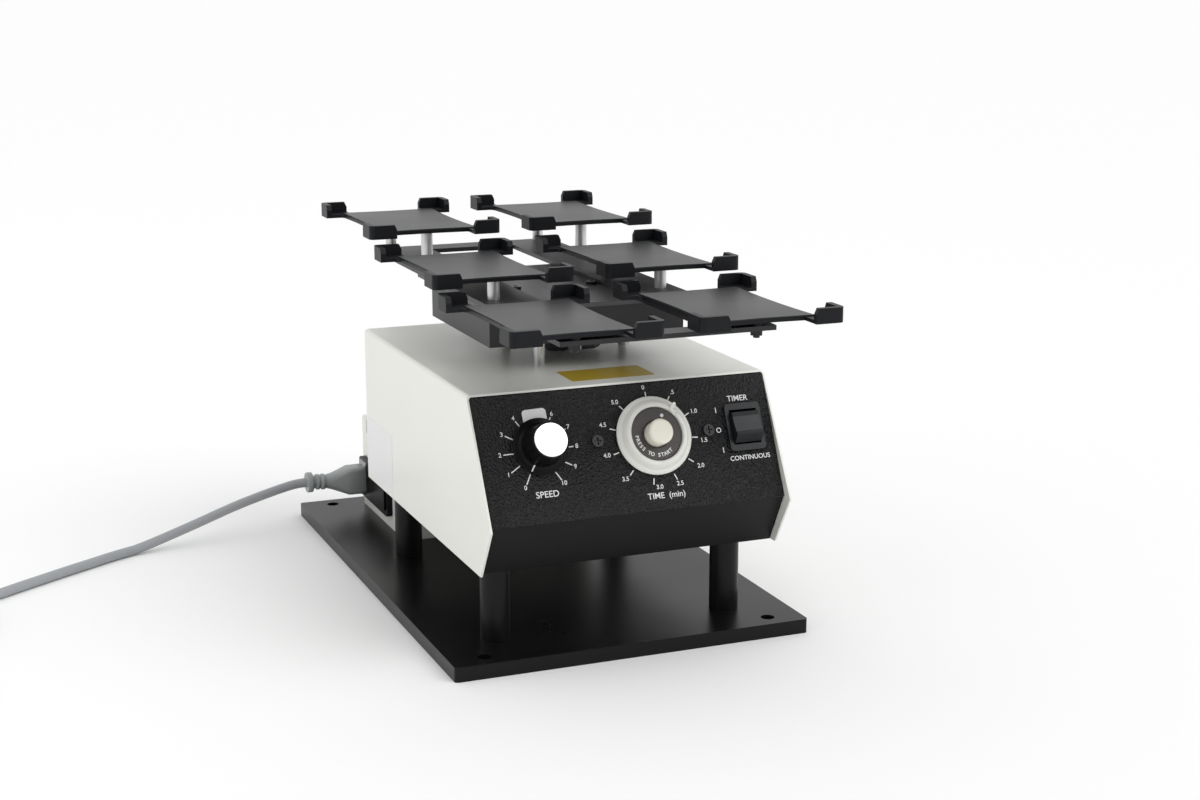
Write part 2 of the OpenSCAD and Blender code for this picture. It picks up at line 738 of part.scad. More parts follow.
module plate_pads() color("#3b3d40") {
  for (x = [-1, 1], i = [0:2])
    translate([x * pitch_x / 2, row_ys[i], deck_z + rises[i] + floor_t])
      linear_extrude(pad_t) bowed(wing_w - 1.2, wing_d - 1.2, 2.2);
}

module holder_screws() color("#8d9094") {
  for (i = [0:2]) stem_places([i]) translate([0, 0, deck_z + rises[i] + floor_t])
    sunk_screw(2, i == 0 ? floor_t + front_rise + frame_t + 4.5 : floor_t + 4.5, 3.8);
  stem_places([0]) translate([0, 0, frame_z - 3]) difference() {
    cylinder(h = 3, r = 4, $fn = 6);
    translate([0, 0, -1]) cylinder(h = 5, r = 2);
  }
}

// speed control
module speed_potentiometer() color("#6b6e72") {
  on_panel() translate([speed_x, mid_s, 0]) difference() {
    union() {
      translate([0, 0, -chassis_drop - 13]) cylinder(h = 13, r = 12);
      translate([0, 0, -chassis_drop - 0.01]) cylinder(h = chassis_drop + 5, r = 4.7);
      translate([-9, -17, -chassis_drop - 5]) cube([18, 7, 1.2]);
    }
    translate([0, 0, -chassis_drop - 9]) cylinder(h = 30, r = 3 + run_gap);
  }
}

module potentiometer_nut() color("#a9acb0") {
  on_panel() translate([speed_x, mid_s, 0]) difference() {
    union() {
      cylinder(h = 0.6, r = 7.4);
      translate([0, 0, 0.59]) cylinder(h = 2.2, r = 6.6, $fn = 6);
    }
    translate([0, 0, -1]) cylinder(h = 5, r = 4.75);
  }
}

module speed_shaft() color("#c9ccd0") {
  on_panel() translate([speed_x, mid_s, -chassis_drop - 8.5]) cylinder(h = chassis_drop + 8.5 + knob_h - 5, r = 3);
}

module speed_knob() color("#151516") {
  r = knob_d / 2;
  g = cap_d / 2 + 0.7;
  on_panel() translate([speed_x, mid_s, 0]) difference() {
    union() {
      spin([[0, 1], [r - 0.4, 1], [r, 1.4], [r, 2.8], [r - 0.5, 3.2], [g + 3.6, 3.9], [g + 2.2, 4.8],
        [g + 1.5, 6.4], [g, knob_h - 1.8], [g - 0.7, knob_h - 1.2], [0, knob_h - 1.2]]);
    }
    translate([0, 0, 0]) cylinder(h = 6.2, r = 8.6);
    translate([0, 0, 4]) cylinder(h = knob_h - 9, r = 3);
    for (a = [0:15:345]) rotate([0, 0, a + 7.5]) translate([g + 2.35, 0, 6.6]) cylinder(h = knob_h, r = 1.2, $fn = 20);
  }
}

module knob_cap() color("#d7d9db") {
  on_panel() translate([speed_x, mid_s, knob_h - 1.2])
    spin([[0, 0], [cap_d / 2, 0], [cap_d / 2, 0.8], [cap_d / 2 - 0.4, 1.2], [0, 1.2]]);
}

// timer
neck_r = 12.5;
sleeve_r = 10.4;
module timer_body() color("#2b2c2e") {
  on_panel() translate([timer_x, mid_s, -chassis_drop]) difference() {
    union() {
      translate([-timer_screw_pitch / 2 - 6, -9, -2]) cube([timer_screw_pitch + 12, 18, 2]);
      translate([-27, -26, -32]) cube([54, 52, 31]);
    }
    translate([0, 0, -12]) cylinder(h = 14, r = neck_r + run_gap);
    translate([0, 0, -17]) cylinder(h = 8, r = sleeve_r + 0.6);
    translate([0, 0, -27]) cylinder(h = 16, r = 3 + run_gap);
    for (s = [-1, 1]) translate([s * timer_screw_pitch / 2, 0, -4]) cylinder(h = 6, r = 1.65);
  }
}

module timer_screws() color("#1c1c1d") {
  on_panel() for (s = [-1, 1])
    translate([timer_x + s * timer_screw_pitch / 2, mid_s, 0]) cross_head(1.6, chassis_drop + 4, 3.7, 1.9);
}

module timer_ring() color("#e9e7dd") {
  r = ring_d / 2;
  d = disc_d / 2;
  on_panel() translate([timer_x, mid_s, 0]) difference() {
    spin([[sleeve_r + run_gap, -chassis_drop - 9], [neck_r, -chassis_drop - 9], [neck_r, 0.9], [r - 1, 0.9],
      [r, 1.4], [r, 2.2], [r - 0.8, 3], [r - 2.6, 4.1], [r - 4, 6.2], [r - 5.2, 7.5], [d + 1.2, 7.9],
      [d + 0.4, 7.3], [d + 0.3, 2.3], [sleeve_r + run_gap, 2.3]]);
    rotate([0, 0, -51]) translate([-0.8, d, 6.6]) cube([1.6, r - d - 2.5, 3]);
  }
}

module timer_disc() color("#3a302b") {
  on_panel() translate([timer_x, mid_s, 0]) difference() {
    spin([[button_d / 2 + 0.3, -chassis_drop - 14], [sleeve_r, -chassis_drop - 14], [sleeve_r, 3],
      [disc_d / 2 - 1, 3], [disc_d / 2, 3.5], [disc_d / 2, 5.6], [disc_d / 2 - 0.4, 6], [button_d / 2 + 1.1, 6],
      [button_d / 2 + 0.3, 5.4]]);
    rotate([0, 0, -26]) translate([0, disc_d / 2 - 4.2, 5.7]) cylinder(h = 2, r = 1.2);
  }
}

module start_button() color("#efe9cf") {
  r = button_d / 2;
  on_panel() translate([timer_x, mid_s, 0])
    spin([[0, -chassis_drop - 22], [3, -chassis_drop - 22], [3, -6], [r, -6], [r, button_h - 1.1],
      [r - 0.5, button_h - 0.4], [r - 1.3, button_h], [0, button_h]]);
}

// switch
well_w = 19;
well_d = 22.4;
module switch_body() color("#161617") {
  on_panel() translate([switch_x, mid_s, 0]) difference() {
    union() {
      round_plate(bezel_w, bezel_d, 2.2, 2.8);
      translate([-bezel_w / 2 + 1.8, -bezel_d / 2 + 1.8, -chassis_drop - 22])
        cube([bezel_w - 3.6, bezel_d - 3.6, chassis_drop + 22.1]);
      for (x = [-6, 6], y = [-8, 0, 8])
        translate([x - 0.4, y - 2.4, -chassis_drop - 30]) cube([0.8, 4.8, 8.1]);
    }
    translate([-well_w / 2, -well_d / 2, -13]) cube([well_w, well_d, 20]);
    translate([-well_w / 2 - 1.1, 0, 0]) rotate([0, 90, 0]) cylinder(h = well_w + 2.2, r = 1.3 + run_gap);
  }
}

module switch_rocker() color("#121213") {
  w = well_w - 0.8;
  k = well_d / 2 / 11.2;
  on_panel() translate([switch_x, mid_s, 0]) rotate([-rocker_tilt, 0, 0]) {
    difference() {
      across(-w / 2, w / 2)
        polygon(k * [[-8.5, -5], [8.5, -5], [10.6, 1], [7.5, 7.5], [5, 6.7], [0, 6.3], [-5, 6.7], [-7.5, 7.5], [-10.6, 1]]);
      slab([-w / 2 + 2, -7, -6], [w / 2 - 2, 7, 2]);
    }
    along_x([-well_w / 2 - 0.9, 0, 0], 2, 1.3);
    along_x([well_w / 2 - 1.1, 0, 0], 2, 1.3);
  }
}

// control board on standoffs
module control_board() color("#2f5d43") {
  difference() {
    translate([-board_w / 2, board_y - board_d / 2, board_z]) cube([board_w, board_d, 1.6]);
    for (x = board_xs, y = board_ys) rod(x, y, board_z - 1, board_z + 3, 1.7);
  }
  translate([0, board_y, board_z + 1.59]) {
    for (x = [-34, -4, 26]) translate([x - 8, -board_d / 2 + 1, 0]) cube([16, 8, 8]);
    translate([-14, board_d / 2 - 11, 0]) cube([28, 9, 9]);
    for (x = [-38, -22]) translate([x, 12, 0]) cylinder(h = 13, r = 6);
    translate([14, -22, 0]) cube([26, 18, 12]);
    translate([-30, -24, 0]) cube([28, 9, 4]);
    translate([16, 8, 0]) cube([22, 14, 6]);
  }
}

module board_standoffs() color("#b9a36a") {
  for (x = board_xs, y = board_ys) {
    difference() {
      rod(x, y, body_z - 1, board_z + 3.2, 1.65);
      rod(x, y, board_z + 2.6, board_z + 4, 0.8);
    }
    difference() {
      rod(x, y, body_z + sheet_t, board_z, 3.4);
      rod(x, y, body_z, board_z + 1, 1.6);
    }
    rod(x, y, board_z + 1.6, board_z + 3.6, 3);
    rod(x, y, body_z - 2, body_z, 3.2);
  }
}

// supply box, lid, screws and bushing
module supply_box() color("#e3e2d9") {
  x = box_w / 2;
  y1 = box_y + box_d;
  z1 = box_z + box_h - box_t;
  difference() {
    slab([-x, box_y, box_z], [x, y1, z1]);
    slab([-x + box_t, box_y + box_t, box_z + box_t], [x - box_t, y1 - box_t, z1 + 1]);
    slab([-x - 1, inlet_y0 + 1.2, inlet_z0 + 1.4], [-x + box_t + 1, inlet_y1 - 1.2, inlet_z1 - 1.4]);
    along_y([0, box_y - 1, bush_z], box_t + 2, 6.2);
    base_screw_places() rotate([180, 0, 0]) translate([0, 0, -box_z - 4]) cylinder(h = 5, r = 3.2);
  }
  for (s = [-1, 1], y = [box_y + 7, y1 - 7]) difference() {
    slab([s * (x - 6) - 6 + e * s, y - 5.6, z1 - 10], [s * (x - 6) + 6 - (s > 0 ? 1 : 0), y + 5.6, z1]);
    rod(s * (x - 7), y, z1 - 11, z1 + 1, 1.75);
  }
}

module supply_box_lid() color("#e3e2d9") {
  x = box_w / 2;
  y1 = box_y + box_d;
  z1 = box_z + box_h;
  difference() {
    translate([0, (box_y + y1) / 2, z1 - box_t]) round_plate(box_w, box_d, box_t, 1);
    for (s = [-1, 1], y = [box_y + 7, y1 - 7]) rod(s * (x - 7), y, z1 - 4, z1 + 1, 1.9);
  }
}

module lid_screws() color("#3c3e42") {
  for (s = [-1, 1], y = [box_y + 7, box_y + box_d - 7])
    translate([s * (box_w / 2 - 7), y, box_z + box_h]) cross_head(1.7, 8, 3.4, 1.9);
}

module wire_bushing() color("#2a2a2c") {
  difference() {
    union() {
      along_y([0, rear_y - 8, bush_z], box_gap + 16, 6);
      along_y([0, rear_y - 2 * sheet_t - 3, bush_z], 3, 7);
      along_y([0, rear_y - sheet_t, bush_z], box_gap + sheet_t, 7);
      along_y([0, box_y + box_t, bush_z], 3, 7);
    }
    along_y([0, rear_y - 12, bush_z], box_gap + 26, 4.6);
  }
}

// inlet module with its socket recess and fuse bay
blade_w = 4;
blade_t = 2;
bay_y0 = inlet_y0 + 5;
bay_y1 = bay_y0 + 22;
blades = [[0, 6.5], [-4.6, -2.5], [4.6, -2.5]];

module power_inlet() color("#151517") {
  xm = -box_w / 2;
  w = inlet_y1 - inlet_y0;
  h = inlet_z1 - inlet_z0;
  difference() {
    union() {
      translate([xm, (inlet_y0 + inlet_y1) / 2, (inlet_z0 + inlet_z1) / 2]) rotate([0, -90, 0])
        round_plate(h, w, 4, 4);
      slab([xm - 1, inlet_y0 + 3.3, inlet_z0 + 2.7], [xm + 34, inlet_y1 - 3.3, inlet_z1 - 2.7]);
    }
    slab([face_x - 1, plug_y - 8.8, plug_z - 13], [nest_x, plug_y + 8.8, plug_z + 13]);
    slab([face_x - 1, bay_y0, plug_z - 9], [face_x + 26, bay_y1, plug_z + 9]);
  }
  for (b = blades)
    slab([face_x + 3, plug_y + b[0] - blade_t / 2, plug_z + b[1] - blade_w / 2],
         [nest_x + 1, plug_y + b[0] + blade_t / 2, plug_z + b[1] + blade_w / 2]);
}

module fuse_drawer() color("#1d1d20") {
  c = 0.3;
  difference() {
    union() {
      slab([face_x, bay_y0 + c, plug_z - 9 + c], [face_x + 24, bay_y1 - c, plug_z + 9 - c]);
      slab([face_x - 1.6, bay_y0 - 1.2, plug_z - 10], [face_x, bay_y1 + 1.2, plug_z + 10]);
    }
    slab([face_x + 4, bay_y0 + 4, plug_z - 4], [face_x + 22, bay_y1 - 4, plug_z + 10]);
    slab([face_x - 3, bay_y0 + 7, plug_z + 7.4], [face_x - 0.7, bay_y1 - 7, plug_z + 12]);
  }
}

module supply_transformer() color("#6e6f72") {
  x0 = 2;
  y0 = box_y + 30;
  z0 = box_z + box_t;
  slab([x0, y0 - 12, z0], [x0 + 44, y0 + 62, z0 + 2]);
  difference() {
    slab([x0, y0, z0 + 1.9], [x0 + 44, y0 + 50, z0 + 44]);
    slab([x0 - 1, y0 + 9, z0 + 10], [x0 + 45, y0 + 18, z0 + 36]);
    slab([x0 - 1, y0 + 32, z0 + 10], [x0 + 45, y0 + 41, z0 + 36]);
  }
  slab([x0 - 9, y0 + 10, z0 + 11], [x0 + 53, y0 + 17, z0 + 35]);
  slab([x0 - 9, y0 + 33, z0 + 11], [x0 + 53, y0 + 40, z0 + 35]);
  slab([x0 - 9, y0 + 10, z0 + 11], [x0 + 0.5, y0 + 40, z0 + 35]);
  slab([x0 + 43.5, y0 + 10, z0 + 11], [x0 + 53, y0 + 40, z0 + 35]);
}

// inner leads, from controls and motor to the board, and on to the supply
// middle line of a lead that leaves p along d and reaches q against f
function lead_line(p, d, q, f, n = 16) =
  let (a = p + wire_gap * d, z = q + wire_gap * f, l = 0.4 * norm(q - p))
  [for (i = [0:n]) let (t = i / n, u = 1 - t)
    u * u * u * a + 3 * u * u * t * (a + l * d) + 3 * u * t * t * (z + l * f) + t * t * t * z];

module wiring() color("#7a3b34") {
  b = board_z + 5.6;
  f = board_y - board_d / 2 + 1;
  r = board_y + board_d / 2 - 2;
  back = [0, sin(panel_lie), -cos(panel_lie)];
  front = [0, -1, 0];
  rear = [0, 1, 0];
  mid = [0, foot_y + mid_s * cos(panel_lie), foot_z + mid_s * sin(panel_lie)];
  wire(lead_line(mid + [speed_x, 0, 0] + (chassis_drop + 13) * back, back, [-34, f, b], front), 1.8);
  wire(lead_line(mid + [timer_x - 16, 0, 0] + (chassis_drop + 32) * back, back, [-4, f, b], front), 2);
  wire(lead_line(mid + [switch_x - 1, 0, 0] + (chassis_drop + 22) * back, back, [26, f, b], front), 1.8);
  wire(lead_line([axis_x, drive_y + motor_r + 5, drive_low - motor_h + 12], rear, [8, r, b], rear), 1.6);
  wire(concat(lead_line([0, r, b], rear, [0, rear_y - 8, bush_z], front),
    lead_line([0, box_y + 6, bush_z], rear, [24, box_y + 30, box_z + 38], front)), 2.6);
  wire(lead_line([-box_w / 2 + 34, box_y + 60, plug_z + 6], [1, 0, 0], [-7, box_y + 45, plug_z + 4], [-1, 0, 0]), 2.2);
}

// connector plugged into the inlet
module power_connector() color("#7d8083") {
  xe = nest_x;
  difference() {
    union() {
      slab([face_x - 2.4, plug_y - 8.5, plug_z - 12.7], [xe, plug_y + 8.5, plug_z + 12.7]);
      translate([face_x - 16, plug_y, plug_z]) rotate([0, 90, 0]) round_plate(25.6, 18, 14.6, 3);
      translate([face_x - 15.9, plug_y, plug_z]) rotate([0, -90, 0]) {
        intersection() {
          union() {
            cylinder(h = 19, r1 = 15, r2 = 5.8);
          }
          translate([-12.8, -9, -1]) cube([25.6, 18, 22]);
        }
      }
      along_x([face_x - 43, plug_y, plug_z], 10, 4.6);
      for (i = [0:2]) along_x([face_x - 37.4 - i * 2.6, plug_y, plug_z], 1.4, 5.6);
      along_x([face_x - 50, plug_y, plug_z], 9, 4.9);
      translate([face_x - 50, plug_y, plug_z]) rotate([0, 90, 0]) cylinder(h = 4.5, r1 = 6.2, r2 = 5.2);
    }
    for (b = blades)
      slab([xe - 16, plug_y + b[0] - blade_t / 2 - 0.3, plug_z + b[1] - blade_w / 2 - 0.3],
           [xe + 1, plug_y + b[0] + blade_t / 2 + 0.3, plug_z + b[1] + blade_w / 2 + 0.3]);
  }
}

// the lead: hand chosen points, joined smoothly and swept as one tube for each stretch
lead_r = lead_d / 2;
exit_x = face_x - 50;
coil_lift = 1.2;
coil_x = -436;
coil_y = 20;
lead_pts = [
  [exit_x + 2, plug_y, plug_z],
  [exit_x - 8, plug_y - 0.2, plug_z - 1],
  [-174.2, 156.5, 25],
  [-216.6, 147.6, 13.5],
  [-257.4, 138.6, lead_r + 0.1],
  [-299.9, 113, lead_r + 0.05],
  [-339.6, 86.3, lead_r + 0.05],
  [-372, 64.5, lead_r + 0.05],
  [-402, 54, lead_r + 0.3],
  [coil_x + 4, coil_y + coil_r + 3.6, lead_r + 0.5],
  [coil_x - 14, coil_y + coil_r + 1.2, lead_r + 0.5]];
tail_x = coil_x - coil_r - lead_d * 0.985;
tail_z = lead_r + coil_lift + lead_d * 0.853;
tail_pts = [
  [tail_x, coil_y + 8, tail_z],
  [tail_x, coil_y - 8, tail_z - 0.3],
  [tail_x - 1, coil_y - 28, tail_z - 4],
  [tail_x - 2, coil_y - 50, lead_r + 2],
  [tail_x - 2.5, coil_y - 72, lead_r + 5],
  [tail_x - 2.5, coil_y - 88, 12.8],
  [tail_x - 2.5, coil_y - 97, 13.5]];

function at(p, i) = p[min(max(i, 0), len(p) - 1)];
function curve(p, i, t) =
  let (a = at(p, i - 1), b = at(p, i), c = at(p, i + 1), d = at(p, i + 2))
  0.5 * (2 * b + (c - a) * t + (2 * a - 5 * b + 4 * c - d) * t * t + (3 * b - a - 3 * c + d) * t * t * t);
function smooth(p, n) = concat([for (i = [0:len(p) - 2], k = [0:n - 1]) curve(p, i, k / n)], [p[len(p) - 1]]);
function heading(q, i) = unit(q[max(i - 1, 0)], q[min(i + 1, len(q) - 1)]);
function ring(c, d, r, n) =
  let (s = cross(d, [0, 0, 1]) / norm(cross(d, [0, 0, 1])), u = cross(s, d))
  [for (k = [0:n - 1]) c + r * (cos(360 * k / n) * s + sin(360 * k / n) * u)];

module tube(p, r, steps = 4, n = 10) {
  q = [for (c = smooth(p, steps)) [c[0], c[1], max(c[2], r)]];
  m = len(q);
  pts = [for (i = [0:m - 1]) each ring(q[i], heading(q, i), r, n)];
  sides = [for (i = [0:m - 2], k = [0:n - 1])
    each [[i * n + k, i * n + (k + 1) % n, (i + 1) * n + (k + 1) % n],
          [i * n + k, (i + 1) * n + (k + 1) % n, (i + 1) * n + k]]];
  low = [[for (k = [n - 1:-1:0]) k]];
  high = [[for (k = [0:n - 1]) (m - 1) * n + k]];
  polyhedron(pts, concat(low, sides, high));
}

// one sheathed lead inside the housing
module wire(p, r) tube(p, r, 1, 8);

module power_cord() color("#8c8f94") {
  tube(lead_pts, lead_r);
  tube(tail_pts, lead_r);
}

module cord_coil() color("#8c8f94") {
  p = lead_d * 0.985;
  translate([coil_x, coil_y, 0]) rotate_extrude($fn = 96)
    for (q = [[-0.5, 0], [0.5, 0], [-1, 1], [0, 1], [1, 1], [-0.5, 2], [0.5, 2]])
      translate([coil_r + q[0] * p, lead_r + coil_lift + q[1] * p * 0.866]) circle(r = lead_r, $fn = 24);
}

module cord_tie() color("#202123") {
  w = 5;
  t = 0.9;
  g = 0.3;
  x = 1.485 * lead_d + g;
  z0 = coil_lift - g;
  z1 = coil_lift + lead_d * 2.706 + g;
  translate([coil_x + coil_r, coil_y, 0]) difference() {
    slab([-x - t, -w / 2, z0 - t], [x + t, w / 2, z1 + t]);
    slab([-x, -w / 2 - 1, z0], [x, w / 2 + 1, z1]);
  }
}

module mains_plug() color("#7d8083") {
  px = tail_x - 2.5;
  py = coil_y - 96;
  translate([px, py, 13.5]) rotate([90, 0, 0]) {
    cylinder(h = 24, r1 = 4.6, r2 = 7.5);
    for (i = [0:3]) translate([0, 0, 3 + i * 4.4]) cylinder(h = 2, r = 6.4 + i * 0.35);
    translate([0, 0, 24 - e]) round_plate(26, 22, 22, 6);
    translate([0, 0, 45]) round_plate(30, 27, 8, 7);
    for (s = [-1, 1]) translate([s * 6.35 - 0.75, 3 - 3.2, 52]) cube([1.5, 6.4, 17]);
    translate([0, -6, 52]) cylinder(h = 20, r = 2.4);
  }
}

base_plate();
support_posts();
base_screws();
chassis();
post_screws();
front_panel();
cover();
cover_screws();
drive_plate();
drive_nuts();
motor();
motor_screws();
idler_bushes();
speed_potentiometer();
potentiometer_nut();
timer_body();
timer_screws();
switch_body();
control_board();
board_standoffs();
wiring();
supply_box();
supply_box_lid();
lid_screws();
wire_bushing();
power_inlet();
supply_transformer();
power_connector();
power_cord();
cord_coil();
cord_tie();
mains_plug();
crank();
motor_shaft();
deck_pan();
deck_plate();
holder_frame();
bearing_block();
deck_bearing();
bearing_screws();
deck_bushes();
frame_screws();
holder_posts();
holder_spacers();
front_plate_holders();
middle_plate_holders();
rear_plate_holders();
plate_pads();
holder_screws();
idler_left();
idler_front();
idler_right();
speed_knob();
knob_cap();
speed_shaft();
timer_ring();
timer_disc();
start_button();
switch_rocker();
fuse_drawer();
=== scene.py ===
import json
import math

import bmesh
import bpy
from mathutils import Matrix, Vector


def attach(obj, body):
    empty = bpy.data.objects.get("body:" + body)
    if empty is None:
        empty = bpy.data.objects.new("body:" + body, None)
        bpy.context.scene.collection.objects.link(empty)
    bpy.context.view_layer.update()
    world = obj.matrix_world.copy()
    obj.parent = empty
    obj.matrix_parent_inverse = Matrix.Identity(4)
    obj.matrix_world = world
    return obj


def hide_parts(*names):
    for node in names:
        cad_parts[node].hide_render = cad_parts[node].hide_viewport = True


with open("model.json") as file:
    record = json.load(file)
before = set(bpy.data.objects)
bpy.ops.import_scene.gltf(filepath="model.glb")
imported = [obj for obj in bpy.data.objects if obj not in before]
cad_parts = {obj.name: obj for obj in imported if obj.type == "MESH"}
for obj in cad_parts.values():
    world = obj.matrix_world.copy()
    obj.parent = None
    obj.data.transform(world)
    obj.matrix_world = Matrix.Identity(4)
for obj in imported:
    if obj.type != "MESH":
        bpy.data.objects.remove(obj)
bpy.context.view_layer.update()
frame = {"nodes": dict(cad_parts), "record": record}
mm = 0.001
print("frame loaded:", len(frame["nodes"]), "nodes")


def v3(x, y, z):
    return Vector((x, y, z)) * mm


# camera at the photograph's place

view = {"place": (-462.95, -1269.95, 436.9), "pitchDown": 13.062, "turn": 22.138, "lens": 59.28, "sensor": 36}


def makeCamera():
    camData = bpy.data.cameras.new("benchCamera")
    camData.lens = view["lens"]
    camData.sensor_width = view["sensor"]
    camData.clip_end = 100
    cam = bpy.data.objects.new("benchCamera", camData)
    cam.location = v3(*view["place"])
    cam.rotation_euler = (math.radians(90 - view["pitchDown"]), 0, math.radians(-view["turn"]))
    bpy.context.scene.collection.objects.link(cam)
    bpy.context.scene.camera = cam


makeCamera()

# the power lead: listed points where it lies free, a loop for the stored coil

lead = {"diameter": 7.0, "coilRadius": 38.0, "coilCentre": (-436.0, 20.0), "coilLift": 1.2, "stepsPerTurn": 20,
        "freeSteps": 6, "coilSteps": 2}
leadRadius = lead["diameter"] / 2
powerFace = -77.0
plugCentre = (164.05, 34.0)


def leadRoute():
    r = leadRadius
    cx, cy = lead["coilCentre"]
    startX = powerFace - 42.5  # inside the connector's collar
    freePart = [
        (startX, plugCentre[0] + 0.3, plugCentre[1]),
        (startX - 15.5, plugCentre[0] - 0.2, plugCentre[1] - 1),
        (-174.2, 156.5, 25),
        (-216.6, 147.6, 13.5),
        (-257.4, 138.6, r + 0.1),
        (-299.9, 113, r + 0.05),
        (-339.6, 86.3, r + 0.05),
        (-372, 64.5, r + 0.05),
        (-402, 54, r + 0.3),
    ]
    step = lead["diameter"] * 0.985
    rows = [(0.5, 0), (-0.5, 0), (-1, 1), (0, 1), (-0.5, 2), (0.5, 2), (1, 1)]
    turns = []
    n = lead["stepsPerTurn"]
    total = int(n * (len(rows) + 0.25))
    for i in range(n // 20, total):
        k = min(i // n, len(rows) - 1)
        into = (i - k * n) / n
        here = rows[k]
        before = rows[max(k - 1, 0)]
        ease = min(1.0, into / 0.22)
        ease = ease * ease * (3 - 2 * ease)
        across = before[0] + (here[0] - before[0]) * ease
        up = before[1] + (here[1] - before[1]) * ease
        radius = lead["coilRadius"] + across * step
        angle = math.radians(90 + 360 * i / n)
        z = r + lead["coilLift"] + up * step * 0.866
        turns.append((cx + radius * math.cos(angle), cy + radius * math.sin(angle), z))
    tailX = cx - lead["coilRadius"] - step
    tailZ = r + lead["coilLift"] + lead["diameter"] * 0.853
    tail = [
        (tailX, cy - 8, tailZ - 0.3),
        (tailX - 1, cy - 28, tailZ - 4),
        (tailX - 2, cy - 50, r + 2),
        (tailX - 2.5, cy - 72, r + 5),
        (tailX - 2.5, cy - 88, 12.8),
        (tailX - 2.5, cy - 95, 13.5),
    ]
    return freePart, turns, tail


# the moulded connector outside the inlet, as stations along the lead: x, width, height, centre z, corner radius
connectorStations = [
    (-76.9, 15.4, 20.2, 32.8, 2.4), (-77.6, 16.0, 21.2, 32.8, 2.8), (-89.6, 16.0, 21.2, 32.8, 3.4),
    (-91.6, 15.2, 20.0, 32.9, 4.2), (-97.0, 13.4, 16.4, 33.1, 5.2), (-102.5, 11.6, 12.6, 33.3, 5.4),
    (-106.6, 10.6, 10.6, 33.5, 5.29), (-107.6, 10.4, 10.4, 33.5, 5.19), (-108.0, 12.2, 12.2, 33.6, 6.09),
    (-110.4, 12.2, 12.2, 33.6, 6.09), (-110.8, 10.2, 10.2, 33.7, 5.09), (-111.8, 10.2, 10.2, 33.7, 5.09),
    (-112.2, 12.0, 12.0, 33.8, 5.99), (-114.4, 12.0, 12.0, 33.8, 5.99), (-114.8, 10.0, 10.0, 33.9, 4.99),
    (-117.0, 10.0, 10.0, 33.9, 4.99), (-117.4, 14.9, 14.9, 34.0, 7.44), (-117.9, 15.5, 15.5, 34.0, 7.74),
    (-121.2, 15.5, 15.5, 34.0, 7.74), (-121.7, 14.7, 14.7, 34.0, 7.34),
]


def makeConnector():
    made = bmesh.new()
    made.from_mesh(frame["nodes"]["power_connector"].data)
    everything = made.verts[:] + made.edges[:] + made.faces[:]
    cut = bmesh.ops.bisect_plane(made, geom=everything, plane_co=(powerFace * mm, 0, 0), plane_no=(-1, 0, 0),
                                 clear_outer=True)
    rim = [e for e in cut["geom_cut"] if isinstance(e, bmesh.types.BMEdge)]
    bmesh.ops.contextual_create(made, geom=rim)
    rings = []
    for x, w, h, z, r in connectorStations:
        ring = []
        for sy, sz, start in ((1, 1, 0), (-1, 1, 90), (-1, -1, 180), (1, -1, 270)):
            for k in range(9):
                a = math.radians(start + 90 * k / 8)
                y = plugCentre[0] + 0.4 + sy * (w / 2 - r) + r * math.cos(a)
                ring.append(made.verts.new(v3(x, y, z + sz * (h / 2 - r) + r * math.sin(a))))
        rings.append(ring)
    for low, high in zip(rings, rings[1:]):
        for k in range(len(low)):
            n = (k + 1) % len(low)
            made.faces.new((low[k], low[n], high[n], high[k]))
    made.faces.new(rings[0])
    made.faces.new(list(reversed(rings[-1])))
    bmesh.ops.recalc_face_normals(made, faces=made.faces)
    mesh = bpy.data.meshes.new("leadConnector")
    made.to_mesh(mesh)
    made.free()
    for face in mesh.polygons:
        face.use_smooth = True
    mesh.set_sharp_from_angle(angle=math.radians(40))
    obj = bpy.data.objects.new("leadConnector", mesh)
    bpy.context.scene.collection.objects.link(obj)
    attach(obj, "housing")
    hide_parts("power_connector")
    return obj


leadConnector = makeConnector()


def between(points, i, t):
    last = len(points) - 1
    a, b, c, d = (Vector(points[min(max(i + k, 0), last)]) for k in (-1, 0, 1, 2))
    p = 0.5 * (2 * b + (c - a) * t + (2 * a - 5 * b + 4 * c - d) * t**2 + (3 * b - a - 3 * c + d) * t**3)
    p.z = max(p.z, leadRadius)
    return p


def makeLead():
    freePart, turns, tail = leadRoute()
    allPoints = freePart + turns + tail
    route = []
    for i in range(len(allPoints) - 1):
        inCoil = len(freePart) <= i < len(freePart) + len(turns) - 1
        steps = lead["coilSteps"] if inCoil else lead["freeSteps"]
        for k in range(steps):
            route.append(between(allPoints, i, k / steps))
    route.append(Vector(allPoints[-1]))
    curve = bpy.data.curves.new("mainsLead", "CURVE")
    curve.dimensions = "3D"
    curve.bevel_depth = leadRadius * mm
    curve.bevel_resolution = 5
    curve.use_fill_caps = True
    spline = curve.splines.new("POLY")
    spline.points.add(len(route) - 1)
    for k, p in enumerate(route):
        spline.points[k].co = (p[0] * mm, p[1] * mm, p[2] * mm, 1)
    spline.use_smooth = True
    obj = bpy.data.objects.new("mainsLead", curve)
    bpy.context.scene.collection.objects.link(obj)
    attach(obj, "housing")
    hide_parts("power_cord", "cord_coil")
    return obj


mainsLead = makeLead()

# shader groups that several finishes share


def newGroup(name, inputs, outputs):
    group = bpy.data.node_groups.new(name, "ShaderNodeTree")
    for label, kind, value in inputs:
        socket = group.interface.new_socket(label, in_out="INPUT", socket_type=kind)
        socket.default_value = value
    for label, kind in outputs:
        group.interface.new_socket(label, in_out="OUTPUT", socket_type=kind)
    start = group.nodes.new("NodeGroupInput")
    end = group.nodes.new("NodeGroupOutput")
    return group, start, end


